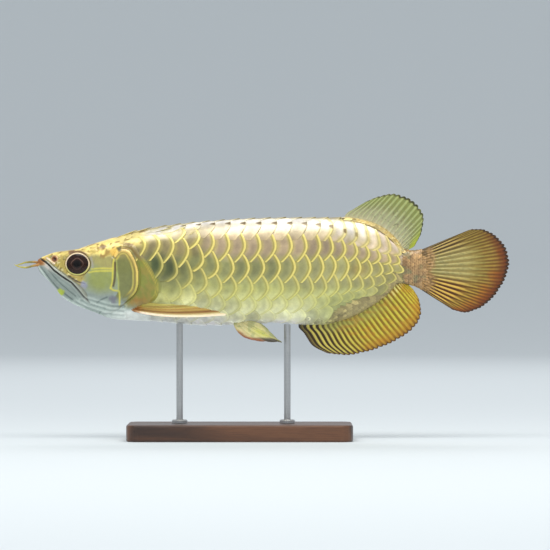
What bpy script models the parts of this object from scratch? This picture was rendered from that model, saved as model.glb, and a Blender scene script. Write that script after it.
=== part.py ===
"""Asian arowana, a still life-size model held by a plain display stand.

The fish lies along X with its snout towards -X and its left flank towards -Y.
Sizes below are millimetres and are turned into metres where objects are made.
Along the fish, s is the distance behind the snout tip and h the height above
the level of the snout tip. The floor is at Z = 0, under the middle of the stand.
"""

import math

import bmesh
import bpy
from mathutils import Matrix, Vector

MM = 0.001

# Overall sizes
TOTAL_LENGTH = 400.0
SNOUT_TO_STAND = 172.0
SNOUT_HEIGHT = 150.0
CUT = 0.3

# Body outline seen from the side, as (s, h)
BACK = (
    (0.0, 0.8), (1.0, 2.2), (3.0, 3.8), (7.1, 5.7), (15.6, 8.8), (25.0, 10.2),
    (34.0, 11.4), (46.0, 15.4), (60.0, 19.7), (77.0, 25.5), (94.0, 29.4),
    (117.0, 32.7), (147.0, 35.7), (180.0, 37.9), (215.0, 38.7), (258.0, 38.7),
    (276.0, 36.4), (290.0, 30.8), (302.0, 21.4), (310.0, 12.2), (317.0, 10.7),
    (328.5, 12.0),
)
BELLY = (
    (0.0, -1.6), (1.0, -4.2), (2.4, -7.4), (9.0, -14.4), (15.7, -21.5),
    (19.5, -26.6), (23.5, -30.6), (30.0, -34.4), (37.0, -37.6), (52.0, -43.2),
    (60.0, -46.6), (66.0, -47.9), (90.0, -49.3), (117.0, -51.6), (142.0, -53.5),
    (165.0, -53.2), (195.0, -51.5), (225.0, -53.2), (240.0, -53.2), (262.0, -48.6),
    (280.0, -40.0), (297.0, -28.2), (308.0, -18.4), (317.0, -19.6), (328.5, -25.0),
)
# Half of the body's width, as (s, width)
HALF_WIDTH = (
    (0.0, 1.4), (1.0, 2.9), (3.0, 4.5), (7.0, 6.4), (12.0, 8.2), (18.0, 9.8),
    (26.0, 11.7), (35.0, 13.4), (46.0, 15.3), (60.0, 17.3), (75.0, 18.9),
    (95.0, 20.1), (125.0, 20.7), (165.0, 20.5), (205.0, 19.3), (240.0, 17.2),
    (262.0, 15.0), (282.0, 12.0), (298.0, 9.0), (310.0, 6.8), (320.0, 5.0),
    (328.5, 3.8),
)
# Level of the widest place, as a share of the height from belly to back
WIDEST = ((0.0, 0.5), (12.0, 0.56), (35.0, 0.64), (65.0, 0.56), (120.0, 0.5), (328.5, 0.5))
# Superellipse exponents of each section above and below the widest place:
# 2 is an ellipse, more is boxy like the flat skull, less is keeled like the belly
ROUND_ABOVE = (
    (0.0, 2.0), (10.0, 2.6), (35.0, 3.8), (60.0, 3.3), (85.0, 2.6),
    (130.0, 2.35), (260.0, 2.3), (328.5, 2.0),
)
ROUND_BELOW = ((0.0, 2.0), (12.0, 1.9), (35.0, 1.8), (120.0, 1.8), (240.0, 1.75), (328.5, 2.0))

# Stretches of the body, as (start, end, number of steps)
STATION_RUNS = ((0.0, 3.0, 3), (3.0, 18.0, 5), (18.0, 90.0, 13), (90.0, 258.0, 12), (258.0, 328.0, 12))
RING_POINTS = 32

# Where the body is divided
HEAD_END = ((76.0, 60.0), (68.5, -80.0))
TAIL_START = 222.0
BODY_END = 328.0
MOUTH_LINE = (
    (1.0, 12.0), (3.4, 3.6), (8.4, 0.0), (11.2, -2.8), (17.8, -8.8), (25.0, -13.9),
    (30.3, -17.6), (36.6, -24.4), (42.2, -31.0), (45.0, -34.4), (53.5, -48.0), (60.0, -60.0),
)

# Gill covers: thin plates with an outline close to an ellipse
GILL_MIDDLE = (75.0, -12.0)
GILL_HALF_LENGTH = 12.4
GILL_HALF_HEIGHT = 23.0
GILL_SQUARENESS = 2.6
GILL_THICKNESS = 3.0
GILL_RAISE = 0.4
GILL_POINTS = 28

# Eyes: balls with a low dome outside, turned slightly up and forward
EYE_MIDDLE = (35.4, -1.3)
EYE_OFF_CENTRE = 11.7
EYE_HALF_LENGTH = 10.9
EYE_HALF_HEIGHT = 9.9
EYE_DOME = 2.9
EYE_DEPTH_INSIDE = 8.5
EYE_TURN_UP = 5.0
EYE_TURN_FORWARD = 8.0
EYE_OPENING_LENGTH = 8.0
EYE_OPENING_LEDGE = 0.5
EYE_SEGMENTS = 20
EYE_RINGS = 10

# Barbels, as (s, h, distance from the middle plane), and their thickness
BARBEL_LEFT_ROUTE = ((3.6, -1.6, 2.6), (-3.0, -2.8, 3.6), (-9.0, -4.2, 5.2), (-14.0, -3.6, 6.8), (-18.5, -1.6, 8.0))
BARBEL_RIGHT_ROUTE = ((3.6, -0.6, 2.6), (-3.0, 0.5, 3.6), (-9.0, 0.2, 5.2), (-14.0, -1.2, 6.8), (-18.5, -2.6, 8.0))
BARBEL_ROOT_RADIUS = 0.85
BARBEL_TIP_RADIUS = 0.35
BARBEL_STEPS = 10

# Fins: outer margins as (s, h), and thickness at root and edge
FIN_SUNK = 3.0
FIN_EDGE_THICKNESS = 0.6
DORSAL_BASE = (259.0, 311.0)
DORSAL_THICKNESS = 2.6
DORSAL_MARGIN = (
    (262.0, 41.5), (267.5, 45.0), (279.0, 51.8), (290.0, 56.2), (301.0, 58.3),
    (311.0, 56.2), (319.0, 51.6), (325.0, 45.0), (327.4, 38.0), (326.0, 27.0), (319.5, 13.6),
)
ANAL_BASE = (221.5, 311.0)
ANAL_THICKNESS = 2.6
ANAL_MARGIN = (
    (221.5, -53.8), (226.0, -59.5), (233.5, -70.2), (246.0, -76.8), (262.0, -78.3),
    (280.0, -75.2), (298.0, -68.9), (313.0, -60.4), (322.0, -51.5), (325.3, -42.0),
    (323.5, -31.5), (318.5, -22.5),
)
CAUDAL_ROOT = ((328.3, 11.6), (328.3, -24.6))
CAUDAL_THICKNESS = 5.0
CAUDAL_MARGIN = (
    (362.0, 26.2), (369.0, 28.4), (376.5, 28.4), (384.0, 25.8), (391.0, 20.3),
    (397.0, 12.5), (TOTAL_LENGTH, 1.0), (397.9, -9.4), (393.0, -20.4), (384.5, -31.2),
    (373.0, -39.4), (362.5, -42.3), (352.0, -40.0),
)
# Paired fins: root and margin as (s, h, distance from the middle plane)
PECTORAL_ROOT = ((80.0, -40.5, 8.5), (87.0, -33.5, 11.5))
PECTORAL_THICKNESS = 3.0
PECTORAL_MARGIN = (
    (162.5, -43.8, 48.5), (160.5, -42.8, 43.0), (154.0, -40.8, 36.0), (143.5, -38.5, 29.5),
    (130.0, -36.3, 23.5), (115.0, -35.2, 19.0), (102.0, -34.4, 17.0),
)
PECTORAL_BOW = (-6.0, -3.4, 9.0)
PELVIC_ROOT = ((166.0, -50.4, 3.0), (175.5, -47.0, 4.0))
PELVIC_THICKNESS = 2.0
PELVIC_MARGIN = (
    (176.5, -63.6, 10.5), (186.5, -66.2, 12.0), (197.5, -67.0, 12.8), (207.8, -67.6, 13.2),
    (200.5, -61.6, 10.6), (196.0, -56.6, 8.8), (190.5, -51.8, 7.6),
)
PELVIC_BOW = (-1.4, -1.2, 0.6)

# Display stand
BASE_LENGTH = 190.0
BASE_WIDTH = 86.0
BASE_THICKNESS = 14.0
BASE_CORNER = 10.0
BASE_EDGE = 1.4
ROD_STATIONS = {"stand_rod_front": 121.0, "stand_rod_rear": 212.0}
ROD_RADIUS = 2.8
COLLAR_RADIUS = 6.5
COLLAR_HEIGHT = 3.0
ROD_SEGMENTS = 20


def smooth(points, x):
    """Height at x of the smooth curve through points, which never overshoots them."""
    if x <= points[0][0]:
        return points[0][1]
    if x >= points[-1][0]:
        return points[-1][1]
    steps = [b[0] - a[0] for a, b in zip(points, points[1:])]
    rises = [(b[1] - a[1]) / (b[0] - a[0]) for a, b in zip(points, points[1:])]
    slopes = [rises[0]]
    for before, after, left, right in zip(rises, rises[1:], steps, steps[1:]):
        if before * after <= 0:
            slopes.append(0.0)
            continue
        near = 2 * right + left
        far = right + 2 * left
        slopes.append((near + far) / (near / before + far / after))
    slopes.append(rises[-1])
    i = max(k for k in range(len(steps)) if points[k][0] <= x)
    t = (x - points[i][0]) / steps[i]
    start, end = points[i][1], points[i + 1][1]
    return (
        start * (1 + 2 * t) * (1 - t) ** 2
        + end * t * t * (3 - 2 * t)
        + steps[i] * (slopes[i] * t * (1 - t) ** 2 - slopes[i + 1] * t * t * (1 - t))
    )


def along(points, t):
    """The place at share t of the smooth line through points, by its length."""
    points = [Vector(p) for p in points]
    reach = [0.0]
    for a, b in zip(points, points[1:]):
        reach.append(reach[-1] + (b - a).length)
    x = t * reach[-1]
    return Vector([smooth([(r, p[k]) for r, p in zip(reach, points)], x) for k in range(len(points[0]))])


def place(s, h, out=0.0):
    """World position of a point on the fish; out is towards its right flank, +Y."""
    return Vector(((s - SNOUT_TO_STAND) * MM, out * MM, (SNOUT_HEIGHT + h) * MM))


def power(value, exponent):
    """A signed power, for superellipses."""
    return math.copysign(abs(value) ** exponent, value)


def body_ring(s, grow):
    """Points round one cross-section of the body, moved out by grow."""
    top = smooth(BACK, s) + grow
    bottom = smooth(BELLY, s) - grow
    half = smooth(HALF_WIDTH, s) + grow
    level = bottom + (top - bottom) * smooth(WIDEST, s)
    ring = []
    for i in range(RING_POINTS):
        angle = 2 * math.pi * i / RING_POINTS
        up = math.sin(angle) >= 0
        bend = 2.0 / smooth(ROUND_ABOVE if up else ROUND_BELOW, s)
        reach = top - level if up else level - bottom
        out = half * power(math.cos(angle), bend)
        ring.append(place(s, level + reach * power(math.sin(angle), bend), out))
    return ring


def stations():
    """Distances behind the snout tip at which the body's sections stand."""
    places = [STATION_RUNS[0][0]]
    for start, end, count in STATION_RUNS:
        places += [start + (end - start) * (i + 1) / count for i in range(count)]
    return places


def new_object(name, mesh, collection):
    made = bpy.data.objects.new(name, mesh)
    collection.objects.link(made)
    return made


def hide_cutter(cutter):
    cutter.hide_render = True
    cutter.display_type = "WIRE"
    return cutter


def body_solid(name, collection, grow=0.0, ends_grow=0.0):
    """The whole body as one loft of its cross-sections."""
    rings = [body_ring(s, grow) for s in stations()]
    rings[0] = [p - Vector((ends_grow * MM, 0, 0)) for p in rings[0]]
    rings[-1] = [p + Vector((ends_grow * MM, 0, 0)) for p in rings[-1]]
    bm = bmesh.new()
    loops = [[bm.verts.new(p) for p in ring] for ring in rings]
    for near, far in zip(loops, loops[1:]):
        for i in range(RING_POINTS):
            j = (i + 1) % RING_POINTS
            bm.faces.new((near[i], near[j], far[j], far[i]))
    bm.faces.new(list(reversed(loops[0])))
    bm.faces.new(loops[-1])
    bmesh.ops.recalc_face_normals(bm, faces=bm.faces)
    mesh = bpy.data.meshes.new(name)
    bm.to_mesh(mesh)
    bm.free()
    return new_object(name, mesh, collection)


def curve_to_mesh(curve_object, collection):
    """The same shape as a mesh with its caps welded on; the curve is removed."""
    name = curve_object.name
    bpy.context.view_layer.update()
    evaluated = curve_object.evaluated_get(bpy.context.evaluated_depsgraph_get())
    mesh = bpy.data.meshes.new_from_object(evaluated)
    bm = bmesh.new()
    bm.from_mesh(mesh)
    bmesh.ops.remove_doubles(bm, verts=bm.verts, dist=0.001 * MM)
    bm.to_mesh(mesh)
    bm.free()
    matrix = curve_object.matrix_world.copy()
    bpy.data.objects.remove(curve_object)
    solid = new_object(name, mesh, collection)
    solid.name = name
    solid.matrix_world = matrix
    return solid


def side_prism(name, outline, near, far, collection):
    """A cutter: an outline of (s, h) points, running along Y from near to far."""
    curve = bpy.data.curves.new(name, "CURVE")
    curve.dimensions = "2D"
    curve.fill_mode = "BOTH"
    curve.extrude = (far - near) / 2 * MM
    spline = curve.splines.new("POLY")
    spline.points.add(len(outline) - 1)
    for point, (s, h) in zip(spline.points, outline):
        world = place(s, h)
        point.co = (world.x, world.z, 0.0, 1.0)
    spline.use_cyclic_u = True
    flat = new_object(name, curve, collection)
    flat.location = (0.0, (near + far) / 2 * MM, 0.0)
    flat.rotation_euler = (math.pi / 2, 0.0, 0.0)
    return hide_cutter(curve_to_mesh(flat, collection))


def boolean(target, cutter, operation):
    cut = target.modifiers.new(f"{operation.lower()} {cutter.name}", "BOOLEAN")
    cut.operation = operation
    cut.object = cutter
    cut.solver = "EXACT"


def material(name, colour, roughness, metallic=0.0):
    made = bpy.data.materials.new(name)
    made.use_nodes = True
    shader = made.node_tree.nodes["Principled BSDF"]
    shader.inputs["Base Color"].default_value = (*colour, 1.0)
    shader.inputs["Roughness"].default_value = roughness
    shader.inputs["Metallic"].default_value = metallic
    return made


def finish(piece, made_of, smooth_angle=40.0):
    piece.data.materials.append(made_of)
    piece.data.shade_smooth()
    piece.data.set_sharp_from_angle(angle=math.radians(smooth_angle))


def gill_outline(grow):
    """Superellipse round one gill cover."""
    outline = []
    for i in range(GILL_POINTS):
        angle = 2 * math.pi * i / GILL_POINTS
        ds = (GILL_HALF_LENGTH + grow) * power(math.cos(angle), 2.0 / GILL_SQUARENESS)
        dh = (GILL_HALF_HEIGHT + grow) * power(math.sin(angle), 2.0 / GILL_SQUARENESS)
        outline.append((GILL_MIDDLE[0] + ds, GILL_MIDDLE[1] + dh))
    return outline


def eye_facing(side):
    """Turn that points local Z out of the head; side is -1 on the left flank."""
    up = math.radians(EYE_TURN_UP)
    forward = math.radians(EYE_TURN_FORWARD)
    out = Vector((-math.sin(forward), side * math.cos(forward) * math.cos(up), math.sin(up)))
    return out.to_track_quat("Z", "Y").to_matrix().to_4x4()


def take_primitive(name, collection):
    """The primitive just added, renamed and moved to a collection."""
    made = bpy.context.object
    made.name = name
    for owner in list(made.users_collection):
        owner.objects.unlink(made)
    collection.objects.link(made)
    return made


def eye_ball(name, side, grow, collection):
    """An eyeball that is deeper inside the head than it stands out of it."""
    bpy.ops.mesh.primitive_uv_sphere_add(segments=EYE_SEGMENTS, ring_count=EYE_RINGS, radius=1.0)
    ball = take_primitive(name, collection)
    for vertex in ball.data.vertices:
        x, y, z = vertex.co
        depth = EYE_DOME if z > 0 else EYE_DEPTH_INSIDE
        vertex.co = (
            x * (EYE_HALF_LENGTH + grow) * MM,
            y * (EYE_HALF_HEIGHT + grow) * MM,
            z * (depth + grow) * MM,
        )
    ball.data.transform(eye_facing(side))
    ball.location = place(*EYE_MIDDLE, side * EYE_OFF_CENTRE)
    return ball


def eye_opening(name, side, collection):
    """A cutter that opens the head in front of an eye, a ledge wider than its rim."""
    bpy.ops.mesh.primitive_cylinder_add(vertices=EYE_SEGMENTS, radius=1.0, depth=1.0)
    opening = take_primitive(name, collection)
    length = EYE_HALF_LENGTH + CUT + EYE_OPENING_LEDGE
    height = EYE_HALF_HEIGHT + CUT + EYE_OPENING_LEDGE
    size = Matrix.Diagonal((length * MM, height * MM, EYE_OPENING_LENGTH * MM, 1.0))
    outward = Matrix.Translation((0.0, 0.0, (EYE_OPENING_LENGTH / 2 - EYE_OPENING_LEDGE) * MM))
    opening.data.transform(eye_facing(side) @ outward @ size)
    opening.location = place(*EYE_MIDDLE, side * EYE_OFF_CENTRE)
    return hide_cutter(opening)


def fan_fin(name, root, margin, bow, thickness, collection, counts):
    """A fin as a sheet of rays from its root to its margin, thick at the root.

    root and margin give a place for a share of their length, and bow is how far
    the middle of the first ray stands off the straight line.
    """
    across, outward = counts
    bpy.ops.mesh.primitive_grid_add(x_subdivisions=across, y_subdivisions=outward, size=1.0)
    fin = take_primitive(name, collection)
    weights = fin.vertex_groups.new(name="thickness")
    least = FIN_EDGE_THICKNESS / thickness
    for vertex in fin.data.vertices:
        u = vertex.co.x + 0.5
        v = vertex.co.y + 0.5
        start = root(u)
        point = start.lerp(margin(u), v) + bow * (4 * v * (1 - v) * (1 - u))
        weights.add([vertex.index], least + (1.0 - least) * (1.0 - v) ** 1.3, "REPLACE")
        vertex.co = point
    solidify = fin.modifiers.new("thickness", "SOLIDIFY")
    solidify.thickness = thickness * MM
    solidify.offset = 0.0
    solidify.vertex_group = weights.name
    return fin


def median_fin(name, base, profile, inward, margin, thickness, collection, counts):
    """A fin in the middle plane whose root runs along the back or the belly."""

    def root(u):
        s = base[0] + (base[1] - base[0]) * u
        return place(s, smooth(profile, s) + inward)

    def edge(u):
        return place(*along(margin, u))

    return fan_fin(name, root, edge, Vector(), thickness, collection, counts)


def paired_fin(name, side, root_ends, margin, bow, thickness, collection, counts):
    """A fin on one flank; side is -1 on the left and 1 on the right."""

    def mirrored(point):
        return place(point[0], point[1], side * point[2])

    def root(u):
        return mirrored(Vector(root_ends[0]).lerp(Vector(root_ends[1]), u))

    def edge(u):
        return mirrored(along(margin, u))

    bend = Vector((bow[0], side * bow[2], bow[1])) * MM
    return fan_fin(name, root, edge, bend, thickness, collection, counts)


def caudal_fin(collection):
    def root(u):
        return place(*Vector(CAUDAL_ROOT[0]).lerp(Vector(CAUDAL_ROOT[1]), u))

    def edge(u):
        return place(*along(CAUDAL_MARGIN, u))

    return fan_fin("caudal_fin", root, edge, Vector(), CAUDAL_THICKNESS, collection, (16, 6))


def barbel(name, side, route, collection):
    """A thin tapering feeler on the tip of the lower jaw."""
    curve = bpy.data.curves.new(name, "CURVE")
    curve.dimensions = "3D"
    curve.bevel_depth = BARBEL_ROOT_RADIUS * MM
    curve.bevel_resolution = 2
    curve.use_fill_caps = True
    spline = curve.splines.new("POLY")
    spline.points.add(BARBEL_STEPS)
    for i, point in enumerate(spline.points):
        t = i / BARBEL_STEPS
        s, h, out = along(route, t)
        point.co = (*place(s, h, side * out), 1.0)
        point.radius = 1.0 + (BARBEL_TIP_RADIUS / BARBEL_ROOT_RADIUS - 1.0) * t
    return curve_to_mesh(new_object(name, curve, collection), collection)


def rod(name, s, collection):
    """A turned rod with a low collar; its top is cut to the belly afterwards."""
    top = (SNOUT_HEIGHT + smooth(BELLY, s) + 8.0) * MM
    low = (BASE_THICKNESS + CUT) * MM
    collar = low + COLLAR_HEIGHT * MM
    bevel = 0.8 * MM
    profile = (
        (0.0, top),
        (ROD_RADIUS * MM, top),
        (ROD_RADIUS * MM, collar),
        (COLLAR_RADIUS * MM - bevel, collar),
        (COLLAR_RADIUS * MM, collar - bevel),
        (COLLAR_RADIUS * MM, low),
        (0.0, low),
    )
    mesh = bpy.data.meshes.new(name)
    mesh.from_pydata([(x, 0.0, z) for x, z in profile], [(i, i + 1) for i in range(len(profile) - 1)], [])
    made = new_object(name, mesh, collection)
    made.location = ((s - SNOUT_TO_STAND) * MM, 0.0, 0.0)
    screw = made.modifiers.new("turn", "SCREW")
    screw.steps = ROD_SEGMENTS
    screw.render_steps = ROD_SEGMENTS
    screw.use_merge_vertices = True
    screw.merge_threshold = 0.0001 * MM
    weld = made.modifiers.new("close the ends", "WELD")
    weld.merge_threshold = 0.01 * MM
    return made


def stand_base(collection):
    bpy.ops.mesh.primitive_cube_add(size=1.0)
    base = take_primitive("stand_base", collection)
    base.data.transform(Matrix.Diagonal((BASE_LENGTH * MM, BASE_WIDTH * MM, BASE_THICKNESS * MM, 1.0)))
    bm = bmesh.new()
    bm.from_mesh(base.data)
    upright = [e for e in bm.edges if abs((e.verts[0].co - e.verts[1].co).normalized().z) > 0.9]
    bmesh.ops.bevel(bm, geom=upright, offset=BASE_CORNER * MM, segments=5, profile=0.5, affect="EDGES")
    bm.to_mesh(base.data)
    bm.free()
    edge = base.modifiers.new("edge", "BEVEL")
    edge.width = BASE_EDGE * MM
    edge.segments = 2
    edge.limit_method = "ANGLE"
    edge.angle_limit = math.radians(60.0)
    base.location = (0.0, 0.0, BASE_THICKNESS / 2 * MM)
    return base


def regions(collection):
    """Side-view prisms that part the body into lower jaw, head, trunk and tail."""
    half = CUT / 2
    reach = 45.0
    slant = half / math.sqrt(2.0)
    jaw_line = [(s - slant, h - slant) for s, h in MOUTH_LINE]
    head_line = [(s + slant, h + slant) for s, h in MOUTH_LINE]
    top, bottom = HEAD_END
    outlines = {
        "lower_jaw": jaw_line + [(-10.0, -60.0), (-10.0, 12.0)],
        "head": head_line + [(bottom[0] - half, bottom[1]), (top[0] - half, top[1]), (1.0, 60.0)],
        "trunk": [
            (top[0] + half, top[1]), (bottom[0] + half, bottom[1]),
            (TAIL_START - half, -80.0), (TAIL_START - half, 60.0),
        ],
        "tail": [
            (TAIL_START + half, 60.0), (TAIL_START + half, -80.0),
            (BODY_END + 10.0, -80.0), (BODY_END + 10.0, 60.0),
        ],
    }
    return {name: side_prism(f"{name}_region", points, -reach, reach, collection) for name, points in outlines.items()}


def main():
    for old in list(bpy.data.objects):
        bpy.data.objects.remove(old)
    scene_root = bpy.context.scene.collection
    parts = bpy.data.collections.new("asian_arowana")
    cutters = bpy.data.collections.new("cutters")
    scene_root.children.link(parts)
    scene_root.children.link(cutters)

    gold = material("gold head", (0.55, 0.47, 0.16), 0.3, 0.3)
    silver = material("silver jaw", (0.55, 0.58, 0.52), 0.3, 0.2)
    flank = material("gold scales", (0.62, 0.58, 0.25), 0.3, 0.3)
    fin_gold = material("gold fin", (0.62, 0.48, 0.12), 0.45)
    fin_olive = material("olive fin", (0.38, 0.40, 0.22), 0.45)
    fin_red = material("red gold fin", (0.50, 0.28, 0.10), 0.45)
    feeler = material("feeler", (0.48, 0.44, 0.14), 0.4)
    dark_eye = material("eye", (0.03, 0.015, 0.01), 0.05)
    wood = material("dark wood", (0.09, 0.045, 0.022), 0.4)
    steel = material("steel", (0.60, 0.60, 0.60), 0.25, 1.0)

    clearance = hide_cutter(body_solid("body_clearance", cutters, CUT, CUT))
    parts_of_body = regions(cutters)

    core = hide_cutter(body_solid("gill_core", cutters, GILL_RAISE - GILL_THICKNESS))
    pocket_core = hide_cutter(body_solid("gill_pocket_core", cutters, GILL_RAISE - GILL_THICKNESS - CUT))
    pockets = []
    for side, word in ((-1, "left"), (1, "right")):
        ends = sorted((side * 2.0, side * 45.0))
        pocket = hide_cutter(body_solid(f"gill_pocket_{word}", cutters, 2.0))
        boolean(pocket, side_prism(f"gill_pocket_{word}_region", gill_outline(CUT), *ends, cutters), "INTERSECT")
        boolean(pocket, pocket_core, "DIFFERENCE")
        pockets.append(pocket)
        cover = body_solid(f"gill_cover_{word}", parts, GILL_RAISE)
        boolean(cover, side_prism(f"gill_cover_{word}_region", gill_outline(0.0), *ends, cutters), "INTERSECT")
        boolean(cover, core, "DIFFERENCE")
        finish(cover, gold)

    for name, made_of in (("head", gold), ("lower_jaw", silver), ("trunk", flank), ("tail", flank)):
        piece = body_solid(name, parts)
        boolean(piece, parts_of_body[name], "INTERSECT")
        if name in ("head", "trunk"):
            for pocket in pockets:
                boolean(piece, pocket, "DIFFERENCE")
        if name == "head":
            for side, word in ((-1, "left"), (1, "right")):
                socket = hide_cutter(eye_ball(f"eye_socket_{word}", side, CUT, cutters))
                boolean(piece, socket, "DIFFERENCE")
                boolean(piece, eye_opening(f"eye_opening_{word}", side, cutters), "DIFFERENCE")
        finish(piece, made_of)

    fins = [
        (median_fin("dorsal_fin", DORSAL_BASE, BACK, -FIN_SUNK, DORSAL_MARGIN,
                    DORSAL_THICKNESS, parts, (16, 5)), fin_olive),
        (median_fin("anal_fin", ANAL_BASE, BELLY, FIN_SUNK, ANAL_MARGIN,
                    ANAL_THICKNESS, parts, (18, 5)), fin_gold),
    ]
    for side, word in ((-1, "left"), (1, "right")):
        fins.append((paired_fin(f"pectoral_fin_{word}", side, PECTORAL_ROOT, PECTORAL_MARGIN,
                                PECTORAL_BOW, PECTORAL_THICKNESS, parts, (8, 8)), fin_gold))
        fins.append((paired_fin(f"pelvic_fin_{word}", side, PELVIC_ROOT, PELVIC_MARGIN,
                                PELVIC_BOW, PELVIC_THICKNESS, parts, (9, 5)), fin_olive))
    for fin, made_of in fins:
        boolean(fin, clearance, "DIFFERENCE")
        finish(fin, made_of)
    finish(caudal_fin(parts), fin_red)

    for side, word, route in ((-1, "left", BARBEL_LEFT_ROUTE), (1, "right", BARBEL_RIGHT_ROUTE)):
        feeler_piece = barbel(f"barbel_{word}", side, route, parts)
        boolean(feeler_piece, clearance, "DIFFERENCE")
        finish(feeler_piece, feeler)
        finish(eye_ball(f"eye_{word}", side, 0.0, parts), dark_eye)

    finish(stand_base(parts), wood)
    for name, s in ROD_STATIONS.items():
        support = rod(name, s, parts)
        boolean(support, clearance, "DIFFERENCE")
        finish(support, steel)


main()
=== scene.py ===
"""Looks of a life-size asian arowana, a still model on a plain display stand.

Shapes are worked out in millimetres: s is the distance behind the snout tip, h the
height above the level of the snout tip, and out the distance from the middle plane.
On the body, t is the share of the way round one flank, 0 at the ridge of the back
and 1 at the keel of the belly. The left flank has side -1 and faces the camera.
"""

import math

import bpy
import numpy as np
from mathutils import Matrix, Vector

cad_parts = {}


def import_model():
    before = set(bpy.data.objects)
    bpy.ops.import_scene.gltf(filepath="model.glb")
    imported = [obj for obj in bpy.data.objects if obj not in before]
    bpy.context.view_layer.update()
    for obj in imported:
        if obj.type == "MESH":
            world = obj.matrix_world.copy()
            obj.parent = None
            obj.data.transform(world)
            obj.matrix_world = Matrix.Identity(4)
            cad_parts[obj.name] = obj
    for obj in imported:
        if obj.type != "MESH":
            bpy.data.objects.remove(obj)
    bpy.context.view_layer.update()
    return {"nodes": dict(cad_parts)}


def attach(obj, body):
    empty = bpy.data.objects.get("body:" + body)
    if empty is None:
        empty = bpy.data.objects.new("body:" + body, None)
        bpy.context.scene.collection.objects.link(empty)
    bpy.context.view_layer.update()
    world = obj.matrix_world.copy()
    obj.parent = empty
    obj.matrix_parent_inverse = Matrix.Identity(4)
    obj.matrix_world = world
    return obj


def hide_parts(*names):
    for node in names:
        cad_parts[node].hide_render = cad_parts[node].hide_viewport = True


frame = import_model()

MM = 0.001
SNOUT_TO_STAND = 172.0
SNOUT_HEIGHT = 150.0
SIDES = (("left", -1), ("right", 1))

# Body outline and sections, the same as the solids under the skin
BACK = (
    (0.0, 0.8), (1.0, 2.2), (3.0, 3.8), (7.1, 5.7), (15.6, 8.8), (25.0, 10.2),
    (34.0, 11.4), (46.0, 15.4), (60.0, 19.7), (77.0, 25.5), (94.0, 29.4),
    (117.0, 32.7), (147.0, 35.7), (180.0, 37.9), (215.0, 38.7), (258.0, 38.7),
    (276.0, 36.4), (290.0, 30.8), (302.0, 21.4), (310.0, 12.2), (317.0, 10.7),
    (328.5, 12.0),
)
BELLY = (
    (0.0, -1.6), (1.0, -4.2), (2.4, -7.4), (9.0, -14.4), (15.7, -21.5),
    (19.5, -26.6), (23.5, -30.6), (30.0, -34.4), (37.0, -37.6), (52.0, -43.2),
    (60.0, -46.6), (66.0, -47.9), (90.0, -49.3), (117.0, -51.6), (142.0, -53.5),
    (165.0, -53.2), (195.0, -51.5), (225.0, -53.2), (240.0, -53.2), (262.0, -48.6),
    (280.0, -40.0), (297.0, -28.2), (308.0, -18.4), (317.0, -19.6), (328.5, -25.0),
)
HALF_WIDTH = (
    (0.0, 1.4), (1.0, 2.9), (3.0, 4.5), (7.0, 6.4), (12.0, 8.2), (18.0, 9.8),
    (26.0, 11.7), (35.0, 13.4), (46.0, 15.3), (60.0, 17.3), (75.0, 18.9),
    (95.0, 20.1), (125.0, 20.7), (165.0, 20.5), (205.0, 19.3), (240.0, 17.2),
    (262.0, 15.0), (282.0, 12.0), (298.0, 9.0), (310.0, 6.8), (320.0, 5.0),
    (328.5, 3.8),
)
WIDEST = ((0.0, 0.5), (12.0, 0.56), (35.0, 0.64), (65.0, 0.56), (120.0, 0.5), (328.5, 0.5))
ROUND_ABOVE = (
    (0.0, 2.0), (10.0, 2.6), (35.0, 3.8), (60.0, 3.3), (85.0, 2.6),
    (130.0, 2.35), (260.0, 2.3), (328.5, 2.0),
)
ROUND_BELOW = ((0.0, 2.0), (12.0, 1.9), (35.0, 1.8), (120.0, 1.8), (240.0, 1.75), (328.5, 2.0))
NOSE_ROUNDING = 1.8
BODY_END = 328.0
COAT_DEPTH = 1.15

# Lines of the head as seen from the side, as (s, h)
MOUTH = (
    (3.4, 3.6), (5.2, 2.1), (8.4, 0.0), (11.2, -2.5), (15.1, -6.6), (17.8, -8.7),
    (20.6, -10.8), (25.0, -13.8), (30.3, -17.3), (33.8, -21.1), (36.6, -24.3),
    (39.4, -27.8), (42.2, -30.6), (45.2, -33.8),
)
MAXILLA_TOP = (
    (9.6, 1.3), (15.1, -3.4), (19.8, -6.8), (26.8, -11.8), (33.8, -17.1),
    (39.4, -22.4), (43.0, -28.3), (43.0, -32.1),
)
UNDER_EYE = ((27.8, -11.3), (31.6, -14.0), (36.3, -16.6), (40.9, -17.8))
CHEEK_LINE_UPPER = ((47.5, -5.4), (55.3, -4.9), (63.9, -5.1))
CHEEK_LINE_LOWER = ((44.9, -8.5), (50.9, -7.3), (64.8, -7.1))
CHEEK_EDGE = ((66.0, 2.6), (65.4, -2.5), (65.2, -8.5), (64.8, -15.5), (63.3, -21.5))
CHEEK_CORNER = ((63.3, -21.5), (65.5, -23.3), (70.4, -24.2), (70.9, -29.6), (70.7, -35.5))
CHEEK_SHADOW = ((67.1, 0.0), (67.1, -6.8), (66.9, -12.0), (65.6, -19.8))
OPERCLE_FRONT = ((68.2, 0.8), (68.7, -8.5), (69.9, -15.5), (69.9, -24.1))
OPERCLE_REAR = (
    (66.0, 5.9), (68.8, 9.7), (73.4, 11.4), (78.1, 10.4), (82.0, 5.2), (85.0, -1.7),
    (86.5, -8.5), (86.5, -17.2), (84.7, -24.1), (80.3, -29.3), (75.9, -33.1),
    (69.0, -38.6), (60.0, -43.0), (50.0, -45.0),
)
OPERCLE_INNER = (
    (71.4, 7.8), (75.1, 8.3), (79.0, 4.2), (81.4, 0.0), (82.4, -8.5), (82.0, -20.6),
    (79.4, -26.2), (74.8, -30.4),
)
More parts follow.
